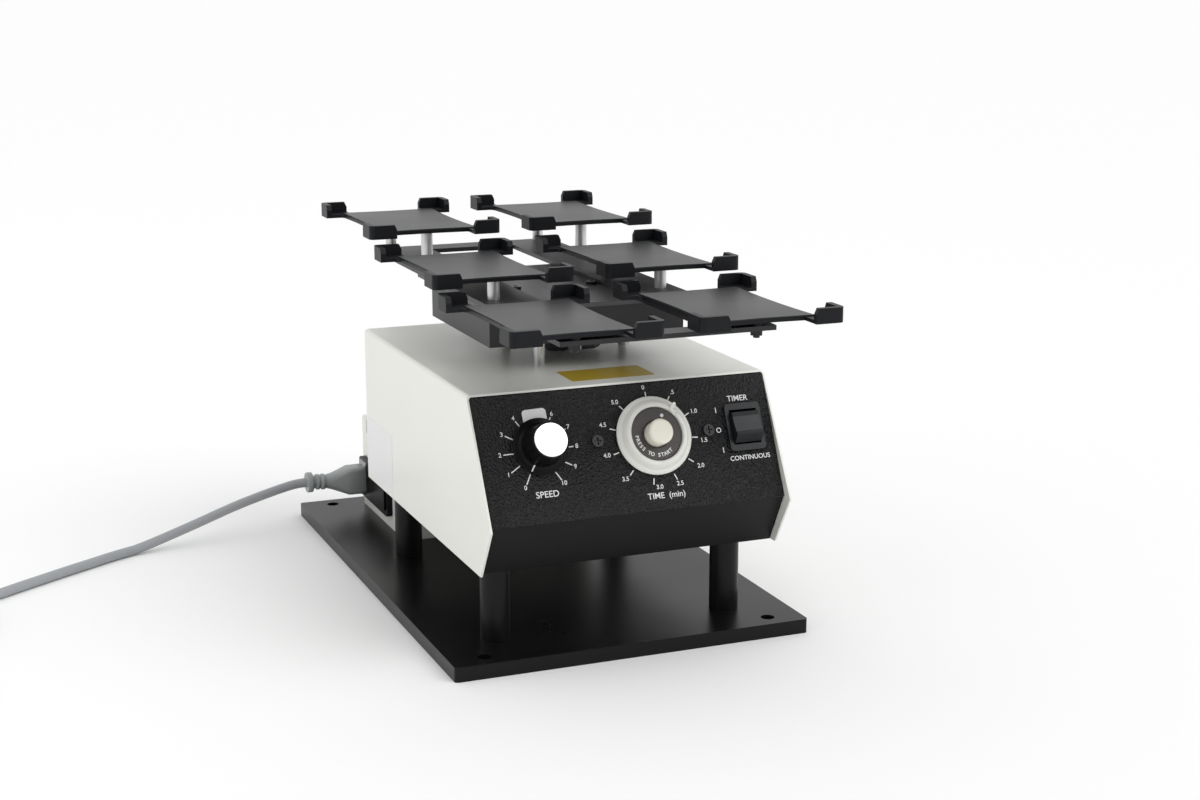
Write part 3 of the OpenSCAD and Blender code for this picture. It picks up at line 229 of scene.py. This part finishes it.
def addNode(tree, kind, **values):
    item = tree.nodes.new(kind)
    for key, value in values.items():
        if hasattr(item, key):
            setattr(item, key, value)
        else:
            item.inputs[key].default_value = value
    return item


def makeGrainGroup():
    # fine tooth and slow unevenness of a paint or a moulding, in object coordinates
    group, start, end = newGroup(
        "grainAndDrift",
        [("Fine Scale", "NodeSocketFloat", 1500.0), ("Fine Amount", "NodeSocketFloat", 0.5),
         ("Drift Scale", "NodeSocketFloat", 14.0), ("Drift Amount", "NodeSocketFloat", 0.06),
         ("Color", "NodeSocketColor", (0.8, 0.8, 0.8, 1)), ("Roughness", "NodeSocketFloat", 0.5)],
        [("Color", "NodeSocketColor"), ("Roughness", "NodeSocketFloat"), ("Height", "NodeSocketFloat")])
    where = group.nodes.new("ShaderNodeTexCoord")
    fine = group.nodes.new("ShaderNodeTexNoise")
    fine.inputs["Detail"].default_value = 3
    slow = group.nodes.new("ShaderNodeTexNoise")
    slow.inputs["Detail"].default_value = 4
    for item, scale in ((fine, "Fine Scale"), (slow, "Drift Scale")):
        group.links.new(where.outputs["Object"], item.inputs["Vector"])
        group.links.new(start.outputs[scale], item.inputs["Scale"])
    shift = group.nodes.new("ShaderNodeMath")
    shift.operation = "SUBTRACT"
    shift.inputs[1].default_value = 0.5
    group.links.new(slow.outputs["Fac"], shift.inputs[0])
    amount = group.nodes.new("ShaderNodeMath")
    amount.operation = "MULTIPLY"
    group.links.new(shift.outputs[0], amount.inputs[0])
    group.links.new(start.outputs["Drift Amount"], amount.inputs[1])
    factor = group.nodes.new("ShaderNodeMath")
    factor.operation = "ADD"
    factor.inputs[1].default_value = 1.0
    group.links.new(amount.outputs[0], factor.inputs[0])
    tint = group.nodes.new("ShaderNodeVectorMath")
    tint.operation = "SCALE"
    group.links.new(start.outputs["Color"], tint.inputs[0])
    group.links.new(factor.outputs[0], tint.inputs["Scale"])
    rough = group.nodes.new("ShaderNodeMath")
    rough.operation = "MULTIPLY_ADD"
    rough.inputs[1].default_value = 1.4
    group.links.new(amount.outputs[0], rough.inputs[0])
    group.links.new(start.outputs["Roughness"], rough.inputs[2])
    high = group.nodes.new("ShaderNodeMath")
    high.operation = "MULTIPLY"
    group.links.new(fine.outputs["Fac"], high.inputs[0])
    group.links.new(start.outputs["Fine Amount"], high.inputs[1])
    group.links.new(tint.outputs[0], end.inputs["Color"])
    group.links.new(rough.outputs[0], end.inputs["Roughness"])
    group.links.new(high.outputs[0], end.inputs["Height"])
    return group


def makeLeatherGroup():
    # rounded cells with creases between them, as on a leather grained film
    group, start, end = newGroup(
        "leatherCells",
        [("Scale", "NodeSocketFloat", 700.0), ("Warp", "NodeSocketFloat", 0.4)],
        [("Height", "NodeSocketFloat")])
    where = group.nodes.new("ShaderNodeTexCoord")
    bend = group.nodes.new("ShaderNodeTexNoise")
    bend.inputs["Scale"].default_value = 300
    group.links.new(where.outputs["Object"], bend.inputs["Vector"])
    push = group.nodes.new("ShaderNodeVectorMath")
    push.operation = "SCALE"
    push.inputs["Scale"].default_value = 0.0016
    group.links.new(bend.outputs["Color"], push.inputs[0])
    place = group.nodes.new("ShaderNodeVectorMath")
    place.operation = "ADD"
    group.links.new(where.outputs["Object"], place.inputs[0])
    group.links.new(push.outputs[0], place.inputs[1])
    cells = group.nodes.new("ShaderNodeTexVoronoi")
    cells.feature = "F1"
    group.links.new(place.outputs[0], cells.inputs["Vector"])
    group.links.new(start.outputs["Scale"], cells.inputs["Scale"])
    group.links.new(cells.outputs["Distance"], end.inputs["Height"])
    return group


grainGroup = makeGrainGroup()
leatherGroup = makeLeatherGroup()

# finishes: color is linear, drift and fine set the procedural wear and tooth

finishes = {
    "black_anodised": {"color": (0.0045, 0.0045, 0.0048), "rough": 0.30, "spec": 0.22,
        "fine": 0.3, "fineScale": 1300, "bump": 0.06},
    "black_steel": {"color": (0.006, 0.006, 0.0065), "rough": 0.40, "spec": 0.2,
        "fine": 0.4, "fineScale": 1400, "bump": 0.1},
    "panel_print": {"color": (0.011, 0.011, 0.0125), "rough": 0.36, "spec": 0.34,
        "fine": 0.4, "fineScale": 1800, "bump": 1.0, "leather": True},
    "cream_paint": {"color": (0.83, 0.83, 0.78), "rough": 0.30,
        "fine": 1.0, "fineScale": 820, "bump": 0.2, "drift": 0.05},
    "plated_screw": {"color": (0.55, 0.55, 0.56), "rough": 0.3, "metal": 1.0,
        "fine": 0.3, "fineScale": 2500, "bump": 0.05},
    "dark_screw": {"color": (0.02, 0.02, 0.02), "rough": 0.3, "metal": 0.6,
        "fine": 0.3, "fineScale": 2500, "bump": 0.05},
    "bright_steel": {"color": (0.72, 0.72, 0.73), "rough": 0.2, "metal": 1.0,
        "fine": 0.2, "fineScale": 2500, "bump": 0.03},
    "plate_steel": {"color": (0.45, 0.46, 0.47), "rough": 0.42, "metal": 1.0,
        "fine": 0.4, "fineScale": 900, "bump": 0.08},
    "cast_dark": {"color": (0.05, 0.05, 0.052), "rough": 0.5, "metal": 0.6,
        "fine": 0.6, "fineScale": 700, "bump": 0.2},
    "motor_case": {"color": (0.09, 0.095, 0.105), "rough": 0.45,
        "fine": 0.3, "fineScale": 1000, "bump": 0.08},
    "bronze": {"color": (0.48, 0.29, 0.12), "rough": 0.4, "metal": 1.0,
        "fine": 0.6, "fineScale": 1600, "bump": 0.1},
    "deck_black": {"color": (0.016, 0.0165, 0.018), "rough": 0.42, "spec": 0.4,
        "fine": 0.4, "fineScale": 1000, "bump": 0.1},
    "deck_grey": {"color": (0.07, 0.07, 0.073), "rough": 0.42, "spec": 0.4,
        "fine": 0.4, "fineScale": 1000, "bump": 0.08},
    "post_satin": {"color": (0.66, 0.66, 0.66), "rough": 0.36, "metal": 0.9,
        "fine": 0.2, "fineScale": 2000, "bump": 0.03},
    "holder_black": {"color": (0.007, 0.0075, 0.0095), "rough": 0.42, "spec": 0.2,
        "fine": 0.35, "fineScale": 1500, "bump": 0.08},
    "pad_grey": {"color": (0.022, 0.023, 0.024), "rough": 0.38, "spec": 0.36,
        "fine": 0.6, "fineScale": 700, "bump": 0.14},
    "knob_black": {"color": (0.004, 0.004, 0.0044), "rough": 0.36, "spec": 0.14,
        "fine": 0.25, "fineScale": 1500, "bump": 0.05},
    "spun_silver": {"color": (0.94, 0.94, 0.94), "rough": 0.24, "metal": 1.0,
        "fine": 0.1, "fineScale": 2500, "bump": 0.02},
    "ring_white": {"color": (0.84, 0.835, 0.79), "rough": 0.34, "fine": 0.2, "fineScale": 1200, "bump": 0.03},
    "disc_brown": {"color": (0.052, 0.043, 0.042), "rough": 0.42,
        "fine": 0.4, "fineScale": 1500, "bump": 0.06},
    "button_cream": {"color": (0.88, 0.86, 0.74), "rough": 0.36,
        "fine": 0.2, "fineScale": 1200, "bump": 0.03},
    "switch_black": {"color": (0.012, 0.014, 0.016), "rough": 0.34, "spec": 0.3,
        "fine": 0.3, "fineScale": 1800, "bump": 0.06},
    "module_dark": {"color": (0.005, 0.005, 0.0057), "rough": 0.38, "spec": 0.14,
        "fine": 0.3, "fineScale": 1800, "bump": 0.06},
    "board_green": {"color": (0.02, 0.09, 0.045), "rough": 0.35, "fine": 0.2, "fineScale": 900, "bump": 0.05},
    "wire_red": {"color": (0.22, 0.03, 0.025), "rough": 0.45, "fine": 0.2, "fineScale": 900, "bump": 0.04},
    "cord_grey": {"color": (0.34, 0.352, 0.37), "rough": 0.48, "fine": 0.3, "fineScale": 900, "bump": 0.06},
    "connector_grey": {"color": (0.34, 0.355, 0.36), "rough": 0.42,
        "fine": 0.3, "fineScale": 1100, "bump": 0.07},
    "transformer_grey": {"color": (0.14, 0.14, 0.145), "rough": 0.5, "metal": 0.3,
        "fine": 0.5, "fineScale": 600, "bump": 0.1},
    "brass_spacer": {"color": (0.55, 0.42, 0.18), "rough": 0.3, "metal": 1.0,
        "fine": 0.2, "fineScale": 2000, "bump": 0.03},
    "legend_white": {"color": (0.80, 0.80, 0.80), "rough": 0.5, "fine": 0.3, "fineScale": 1800, "bump": 0.04},
    "label_yellow": {"color": (0.50, 0.35, 0.02), "rough": 0.35, "fine": 0.3, "fineScale": 900, "bump": 0.03},
    "label_white": {"color": (0.82, 0.82, 0.82), "rough": 0.4, "fine": 0.3, "fineScale": 900, "bump": 0.03},
}


def makeFinish(name, look):
    mat = bpy.data.materials.new(name)
    mat.use_nodes = True
    tree = mat.node_tree
    shader = tree.nodes["Principled BSDF"]
    shader.inputs["Metallic"].default_value = look.get("metal", 0.0)
    shader.inputs["Specular IOR Level"].default_value = look.get("spec", 0.5)
    grain = tree.nodes.new("ShaderNodeGroup")
    grain.node_tree = grainGroup
    grain.inputs["Fine Scale"].default_value = look["fineScale"]
    grain.inputs["Fine Amount"].default_value = look["fine"]
    grain.inputs["Drift Amount"].default_value = look.get("drift", 0.10)
    grain.inputs["Color"].default_value = (*look["color"], 1)
    grain.inputs["Roughness"].default_value = look["rough"]
    tree.links.new(grain.outputs["Color"], shader.inputs["Base Color"])
    tree.links.new(grain.outputs["Roughness"], shader.inputs["Roughness"])
    bump = tree.nodes.new("ShaderNodeBump")
    bump.inputs["Strength"].default_value = look["bump"]
    bump.inputs["Distance"].default_value = 0.0006 if look.get("leather") else 0.0003
    height = grain.outputs["Height"]
    if look.get("leather"):
        leather = tree.nodes.new("ShaderNodeGroup")
        leather.node_tree = leatherGroup
        both = tree.nodes.new("ShaderNodeMath")
        both.operation = "MULTIPLY_ADD"
        both.inputs[1].default_value = 2.2
        tree.links.new(leather.outputs["Height"], both.inputs[0])
        tree.links.new(height, both.inputs[2])
        height = both.outputs[0]
    tree.links.new(height, bump.inputs["Height"])
    tree.links.new(bump.outputs["Normal"], shader.inputs["Normal"])
    return mat


materials = {name: makeFinish(name, look) for name, look in finishes.items()}


def dressNodes():
    slotOf = {p["node"]: p["material_slot"] for p in frame["record"]["subparts"]}
    for name, obj in frame["nodes"].items():
        obj.data.materials.clear()
        obj.data.materials.append(materials[slotOf[name]])
    mainsLead.data.materials.append(materials["cord_grey"])
    leadConnector.data.materials.append(materials["connector_grey"])


dressNodes()
print("finishes made:", len(materials))

# the sloping panel's own axes: x across, s up the slope, h out of it

panel = {"foot": (-199.35, 95.5), "head": (-164.35, 168.8), "controlRow": 0.575}
panelRun = Vector((0, panel["head"][0] - panel["foot"][0], panel["head"][1] - panel["foot"][1]))
panelLength = panelRun.length
upSlope = panelRun.normalized()
outSlope = Vector((1, 0, 0)).cross(upSlope)
rowS = panel["controlRow"] * panelLength


def panelMatrix(x, s, h, turn=0.0):
    base = Matrix.Identity(4)
    for i, axis in enumerate((Vector((1, 0, 0)), upSlope, outSlope)):
        for k in range(3):
            base[k][i] = axis[k]
    place = Vector((x, panel["foot"][0], panel["foot"][1])) + upSlope * s + outSlope * h
    return Matrix.Translation(place * mm) @ base @ Matrix.Rotation(math.radians(turn), 4, "Z")


def meshFrom(obj, name):
    # the evaluated object as a plain mesh piece at the origin
    graph = bpy.context.evaluated_depsgraph_get()
    mesh = bpy.data.meshes.new_from_object(obj.evaluated_get(graph))
    bpy.data.objects.remove(obj, do_unlink=True)
    piece = bpy.data.objects.new(name, mesh)
    bpy.context.scene.collection.objects.link(piece)
    return piece


def lettering(words, size, name, weight=0.0, spread=1.0):
    curve = bpy.data.curves.new(name, "FONT")
    curve.body = words
    curve.size = size * mm
    curve.align_x = "CENTER"
    curve.align_y = "CENTER"
    curve.extrude = 0.02 * mm
    curve.offset = weight * mm
    curve.space_character = spread
    curve.resolution_u = 4
    obj = bpy.data.objects.new(name, curve)
    bpy.context.scene.collection.objects.link(obj)
    return meshFrom(obj, name)


def joined(parts, name, body, slot):
    mesh = bpy.data.meshes.new(name)
    made = bmesh.new()
    for part in parts:
        made.from_mesh(part.data)
        bpy.data.objects.remove(part, do_unlink=True)
    made.to_mesh(mesh)
    made.free()
    mesh.materials.append(materials[slot])
    obj = bpy.data.objects.new(name, mesh)
    bpy.context.scene.collection.objects.link(obj)
    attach(obj, body)
    return obj


# dial ticks: one Geometry Nodes tree sets bars round a centre

def makeTickTree():
    tree = bpy.data.node_groups.new("dialTicks", "GeometryNodeTree")
    sockets = {}
    for label, kind, value in (
            ("Count", "NodeSocketInt", 11), ("First Angle", "NodeSocketFloat", 0.0),
            ("Step Angle", "NodeSocketFloat", 0.5), ("Radius", "NodeSocketFloat", 0.02),
            ("Length", "NodeSocketFloat", 0.004), ("Width", "NodeSocketFloat", 0.0007),
            ("Thickness", "NodeSocketFloat", 0.00004)):
        socket = tree.interface.new_socket(label, in_out="INPUT", socket_type=kind)
        socket.default_value = value
        sockets[label] = socket.identifier
    ink = tree.interface.new_socket("Ink", in_out="INPUT", socket_type="NodeSocketMaterial")
    sockets["Ink"] = ink.identifier
    tree.interface.new_socket("Geometry", in_out="OUTPUT", socket_type="NodeSocketGeometry")
    start = tree.nodes.new("NodeGroupInput")
    end = tree.nodes.new("NodeGroupOutput")
    link = tree.links.new

    def math2(kind, a, b=None, value=None):
        item = tree.nodes.new("ShaderNodeMath")
        item.operation = kind
        link(a, item.inputs[0])
        if b is not None:
            link(b, item.inputs[1])
        if value is not None:
            item.inputs[1].default_value = value
        return item.outputs[0]

    index = tree.nodes.new("GeometryNodeInputIndex").outputs[0]
    angle = math2("ADD", math2("MULTIPLY", index, start.outputs["Step Angle"]), start.outputs["First Angle"])
    place = tree.nodes.new("ShaderNodeCombineXYZ")
    link(math2("MULTIPLY", math2("SINE", angle), start.outputs["Radius"]), place.inputs["X"])
    link(math2("MULTIPLY", math2("COSINE", angle), start.outputs["Radius"]), place.inputs["Y"])
    points = tree.nodes.new("GeometryNodePoints")
    link(start.outputs["Count"], points.inputs["Count"])
    link(place.outputs[0], points.inputs["Position"])
    size = tree.nodes.new("ShaderNodeCombineXYZ")
    link(start.outputs["Width"], size.inputs["X"])
    link(start.outputs["Length"], size.inputs["Y"])
    link(start.outputs["Thickness"], size.inputs["Z"])
    bar = tree.nodes.new("GeometryNodeMeshCube")
    link(size.outputs[0], bar.inputs["Size"])
    turn = tree.nodes.new("ShaderNodeCombineXYZ")
    link(math2("MULTIPLY", angle, value=-1.0), turn.inputs["Z"])
    setting = tree.nodes.new("GeometryNodeInstanceOnPoints")
    link(points.outputs[0], setting.inputs["Points"])
    link(bar.outputs["Mesh"], setting.inputs["Instance"])
    link(turn.outputs[0], setting.inputs["Rotation"])
    real = tree.nodes.new("GeometryNodeRealizeInstances")
    link(setting.outputs[0], real.inputs[0])
    paint = tree.nodes.new("GeometryNodeSetMaterial")
    link(real.outputs[0], paint.inputs["Geometry"])
    link(start.outputs["Ink"], paint.inputs["Material"])
    link(paint.outputs[0], end.inputs[0])
    return tree, sockets


tickTree, tickSockets = makeTickTree()


def ticks(name, values):
    obj = bpy.data.objects.new(name, bpy.data.meshes.new(name))
    bpy.context.scene.collection.objects.link(obj)
    mod = obj.modifiers.new("ticks", "NODES")
    mod.node_group = tickTree
    for label, value in values.items():
        mod[tickSockets[label]] = value
    mod[tickSockets["Ink"]] = materials["legend_white"]
    return meshFrom(obj, name)


speedDial = {"x": -59.8, "s": 44.65, "turn": -1.4, "marks": 11, "first": 210.0, "step": 30.0, "inner": 15.6,
             "outer": 22.8, "numbers": 25.0, "numberSize": 3.9, "word": "SPEED", "wordPlace": (-58.5, 17.3),
             "wordSize": 5.6}
timeDial = {"x": 16.8, "s": 45.4, "turn": -1.6, "marks": 11, "first": 0.0, "step": 32.0, "inner": 25.6,
            "outer": 29.6, "numberSize": 3.9, "word": "TIME  (min)", "wordPlace": (18.8, 8.9),
            "wordSize": 5.3,
            "spots": [(32.5, 357), (32.8, 32), (33.1, 64), (33.7, 97.7), (34.8, 125.7), (32.5, 157.6),
                      (31.0, 183), (33.4, 224.4), (33.9, 256.2), (34.3, 289), (33.2, 318.2)]}
switchWords = [("TIMER", 77.9, 65.5, 5.2), ("CONTINUOUS", 79.8, 27.1, 4.2), ("I", 61.6, 58.8, 4.8),
               ("O", 61.4, 46.0, 4.6), ("I", 62.3, 33.0, 4.8)]
ink = 0.045  # lift of the print above the panel, mm


def placed(piece, matrix):
    piece.data.transform(matrix)
    return piece


def dialLegend(dial, texts, skip=()):
    parts = []
    bars = ticks("ticks", {
        "Count": dial["marks"], "First Angle": math.radians(dial["first"] + dial["turn"]),
        "Step Angle": math.radians(dial["step"]), "Radius": (dial["inner"] + dial["outer"]) / 2 * mm,
        "Length": (dial["outer"] - dial["inner"]) * mm, "Width": 0.72 * mm})
    parts.append(placed(bars, panelMatrix(dial["x"], dial["s"], ink)))
    for k, text in enumerate(texts):
        if k in skip:
            continue
        if "spots" in dial:
            r, degrees = dial["spots"][k]
        else:
            r, degrees = dial["numbers"], dial["first"] + dial["turn"] + k * dial["step"]
        a = math.radians(degrees)
        number = lettering(text, dial["numberSize"], "number", 0.06)
        parts.append(placed(number, panelMatrix(dial["x"] + r * math.sin(a), dial["s"] + r * math.cos(a), ink)))
    x, s = dial["wordPlace"]
    parts.append(placed(lettering(dial["word"], dial["wordSize"], "word", 0.05), panelMatrix(x, s, ink)))
    return parts


def makeLegends():
    speedTexts = [str(k) for k in range(11)]
    timeTexts = ["0", ".5"] + [f"{k * 0.5:.1f}" for k in range(2, 11)]
    parts = dialLegend(speedDial, speedTexts, skip=(5,))  # the fifth number is under the blank label
    parts += dialLegend(timeDial, timeTexts)
    for words, x, s, size in switchWords:
        parts.append(placed(lettering(words, size, "word", 0.05), panelMatrix(x, s, ink)))
    joined(parts, "panelLegend", "housing", "legend_white")


makeLegends()

# start legend set round the button on the pointer disc, the disc's dot and the knob's pointer line

startLegend = {"x": 16.4, "words": "PRESS TO START", "radius": 13.4, "size": 3.3, "middle": 206.0,
               "letterStep": 9.4, "disc": 6.0, "dotAt": (12.6, 26.0),
               "dotRadius": 1.15}
knobLine = {"x": -58.8, "turn": 210.0, "width": 0.85,
            "path": [(12.4, 6.9), (13.2, 4.95), (14.6, 4.0), (17.1, 3.4)]}


def makePointerMarks():
    parts = []
    words = startLegend["words"]
    x0 = startLegend["x"]
    for k, letter in enumerate(words):
        if letter == " ":
            continue
        a = startLegend["middle"] - (k - (len(words) - 1) / 2) * startLegend["letterStep"]
        r = startLegend["radius"]
        t = math.radians(a)
        glyph = lettering(letter, startLegend["size"], "letter", 0.09)
        parts.append(placed(glyph, panelMatrix(x0 + r * math.sin(t), rowS + r * math.cos(t),
                                               startLegend["disc"] + 0.03, 180 - a)))
    bpy.ops.mesh.primitive_cylinder_add(vertices=32, radius=startLegend["dotRadius"] * mm, depth=0.3 * mm)
    dot = meshFrom(bpy.context.object, "dot")
    r, a = startLegend["dotAt"]
    t = math.radians(a)
    dotPlace = panelMatrix(x0 + r * math.sin(t), rowS + r * math.cos(t), startLegend["disc"] - 0.1)
    parts.append(placed(dot, dotPlace))
    joined(parts, "pointerMarks", "timer_pointer", "legend_white")
    made = bmesh.new()
    a = math.radians(knobLine["turn"])
    half = knobLine["width"] / 2
    rows = []
    for r, h in knobLine["path"]:
        row = []
        for side, lift in ((-half, 0.0), (half, 0.0), (half, 0.12), (-half, 0.12)):
            x = knobLine["x"] + r * math.sin(a) + side * math.cos(a)
            s = rowS + r * math.cos(a) - side * math.sin(a)
            row.append(made.verts.new(panelMatrix(x, s, h + lift - 0.02).translation))
        rows.append(row)
    for low, high in zip(rows, rows[1:]):
        for k in range(4):
            made.faces.new((low[k], low[(k + 1) % 4], high[(k + 1) % 4], high[k]))
    made.faces.new(rows[0])
    made.faces.new(list(reversed(rows[-1])))
    bmesh.ops.recalc_face_normals(made, faces=made.faces)
    mesh = bpy.data.meshes.new("line")
    made.to_mesh(mesh)
    made.free()
    line = bpy.data.objects.new("line", mesh)
    joined([line], "knobPointer", "speed_control", "legend_white")


makePointerMarks()
print("legends made")

# the small raised index across the timer ring

ringIndex = {"x": 16.4, "turn": 39.0, "from": 17.6, "to": 23.4, "width": 2.2, "ringTop": 7.9, "rise": 0.7}


def makeRingIndex():
    nub = roundedSheet(ringIndex["width"], ringIndex["to"] - ringIndex["from"], ringIndex["width"] / 2 - 0.01,
                       ringIndex["rise"] + 0.2, "nub")
    a = math.radians(ringIndex["turn"])
    r = (ringIndex["from"] + ringIndex["to"]) / 2
    nub.data.transform(panelMatrix(ringIndex["x"] + r * math.sin(a), rowS + r * math.cos(a),
                                   ringIndex["ringTop"] - 0.2, -ringIndex["turn"]))
    joined([nub], "ringIndex", "timer_setting", "ring_white")

# blank stickers


def roundedSheet(w, d, r, t, name):
    made = bmesh.new()
    ring = []
    for cx, cy, start in ((1, 1, 0), (-1, 1, 90), (-1, -1, 180), (1, -1, 270)):
        for k in range(9):
            a = math.radians(start + 90 * k / 8)
            ring.append((cx * (w / 2 - r) + r * math.cos(a), cy * (d / 2 - r) + r * math.sin(a)))
    low = [made.verts.new((x * mm, y * mm, 0)) for x, y in ring]
    high = [made.verts.new((x * mm, y * mm, t * mm)) for x, y in ring]
    made.faces.new(high)
    made.faces.new(list(reversed(low)))
    for k in range(len(ring)):
        n = (k + 1) % len(ring)
        made.faces.new((low[k], low[n], high[n], high[k]))
    mesh = bpy.data.meshes.new(name)
    made.to_mesh(mesh)
    made.free()
    obj = bpy.data.objects.new(name, mesh)
    bpy.context.scene.collection.objects.link(obj)
    return obj


stickers = {
    "topSticker": {"size": (56, 30), "corner": 1.6, "slot": "label_yellow"},
    "sideSticker": {"size": (61, 43), "corner": 1.6, "slot": "label_white"},
    "dialSticker": {"size": (15.6, 9.0), "corner": 2.4, "slot": "label_white"},
}


stickerPlaces = {
    "topSticker": Matrix.Translation(v3(2, -136, 170.02)),
    "sideSticker": Matrix.Translation(v3(-100.02, 31.5, 85.5)) @ Matrix.Rotation(math.radians(-90), 4, "Z")
    @ Matrix.Rotation(math.radians(90), 4, "X"),
    "dialSticker": panelMatrix(-59.0, 66.2, 0.03, 2),
}
stickerThickness = 0.12


def makeStickers():
    for name, sticker in stickers.items():
        sheet = roundedSheet(*sticker["size"], sticker["corner"], stickerThickness, "sheet")
        sheet.data.transform(stickerPlaces[name])
        joined([sheet], name, "housing", sticker["slot"])


makeStickers()
makeRingIndex()
print("stickers made")

# floor and light


floorColor = (0.93, 0.935, 0.93, 1)


def makeFloor():
    bpy.ops.mesh.primitive_plane_add(size=60, location=(0, 0, 0))
    floor = bpy.context.object
    floor.name = "benchTop"
    mat = bpy.data.materials.new("benchTop")
    mat.use_nodes = True
    shader = mat.node_tree.nodes["Principled BSDF"]
    shader.inputs["Base Color"].default_value = floorColor
    shader.inputs["Roughness"].default_value = 0.9
    shader.inputs["Specular IOR Level"].default_value = 0.0
    floor.data.materials.append(mat)


def makeLamp(name, place, size, power, aim=(0, -50, 120)):
    data = bpy.data.lights.new(name, "AREA")
    data.size = size
    data.energy = power
    lamp = bpy.data.objects.new(name, data)
    lamp.location = v3(*place)
    lamp.rotation_euler = (v3(*aim) - lamp.location).to_track_quat("-Z", "Y").to_euler()
    bpy.context.scene.collection.objects.link(lamp)


# the room: white all round, darker behind the camera; the key comes softly from the upper right
lights = {
    "room": 0.90, "behindCamera": 0.32, "darkWay": (-0.3, -0.95, 0.05), "darkFrom": 0.55, "darkTo": 0.97,
    "sun": {"angle": 40, "strength": 0.9, "way": (-0.48, 0.53, -0.70)},
    "left": {"place": (-1700, -500, 1300), "size": 1.6, "power": 3.5},
}


def makeLight():
    world = bpy.data.worlds.new("room")
    bpy.context.scene.world = world
    world.use_nodes = True
    tree = world.node_tree
    back = tree.nodes["Background"]
    back.inputs["Color"].default_value = (1, 1, 1, 1)
    where = tree.nodes.new("ShaderNodeTexCoord")
    toward = tree.nodes.new("ShaderNodeVectorMath")
    toward.operation = "DOT_PRODUCT"
    toward.inputs[1].default_value = Vector(lights["darkWay"]).normalized()
    tree.links.new(where.outputs["Generated"], toward.inputs[0])
    level = tree.nodes.new("ShaderNodeMapRange")
    level.interpolation_type = "SMOOTHSTEP"
    level.inputs["From Min"].default_value = lights["darkFrom"]
    level.inputs["From Max"].default_value = lights["darkTo"]
    level.inputs["To Min"].default_value = lights["room"]
    level.inputs["To Max"].default_value = lights["behindCamera"]
    tree.links.new(toward.outputs["Value"], level.inputs["Value"])
    tree.links.new(level.outputs["Result"], back.inputs["Strength"])
    data = bpy.data.lights.new("ceiling", "SUN")
    data.angle = math.radians(lights["sun"]["angle"])
    data.energy = lights["sun"]["strength"]
    sun = bpy.data.objects.new("ceiling", data)
    sun.rotation_euler = Vector(lights["sun"]["way"]).to_track_quat("-Z", "Y").to_euler()
    bpy.context.scene.collection.objects.link(sun)
    left = lights["left"]
    makeLamp("leftSoftbox", left["place"], left["size"], left["power"])


makeFloor()
makeLight()
bpy.context.scene.view_settings.view_transform = "Standard"

print("scene done")
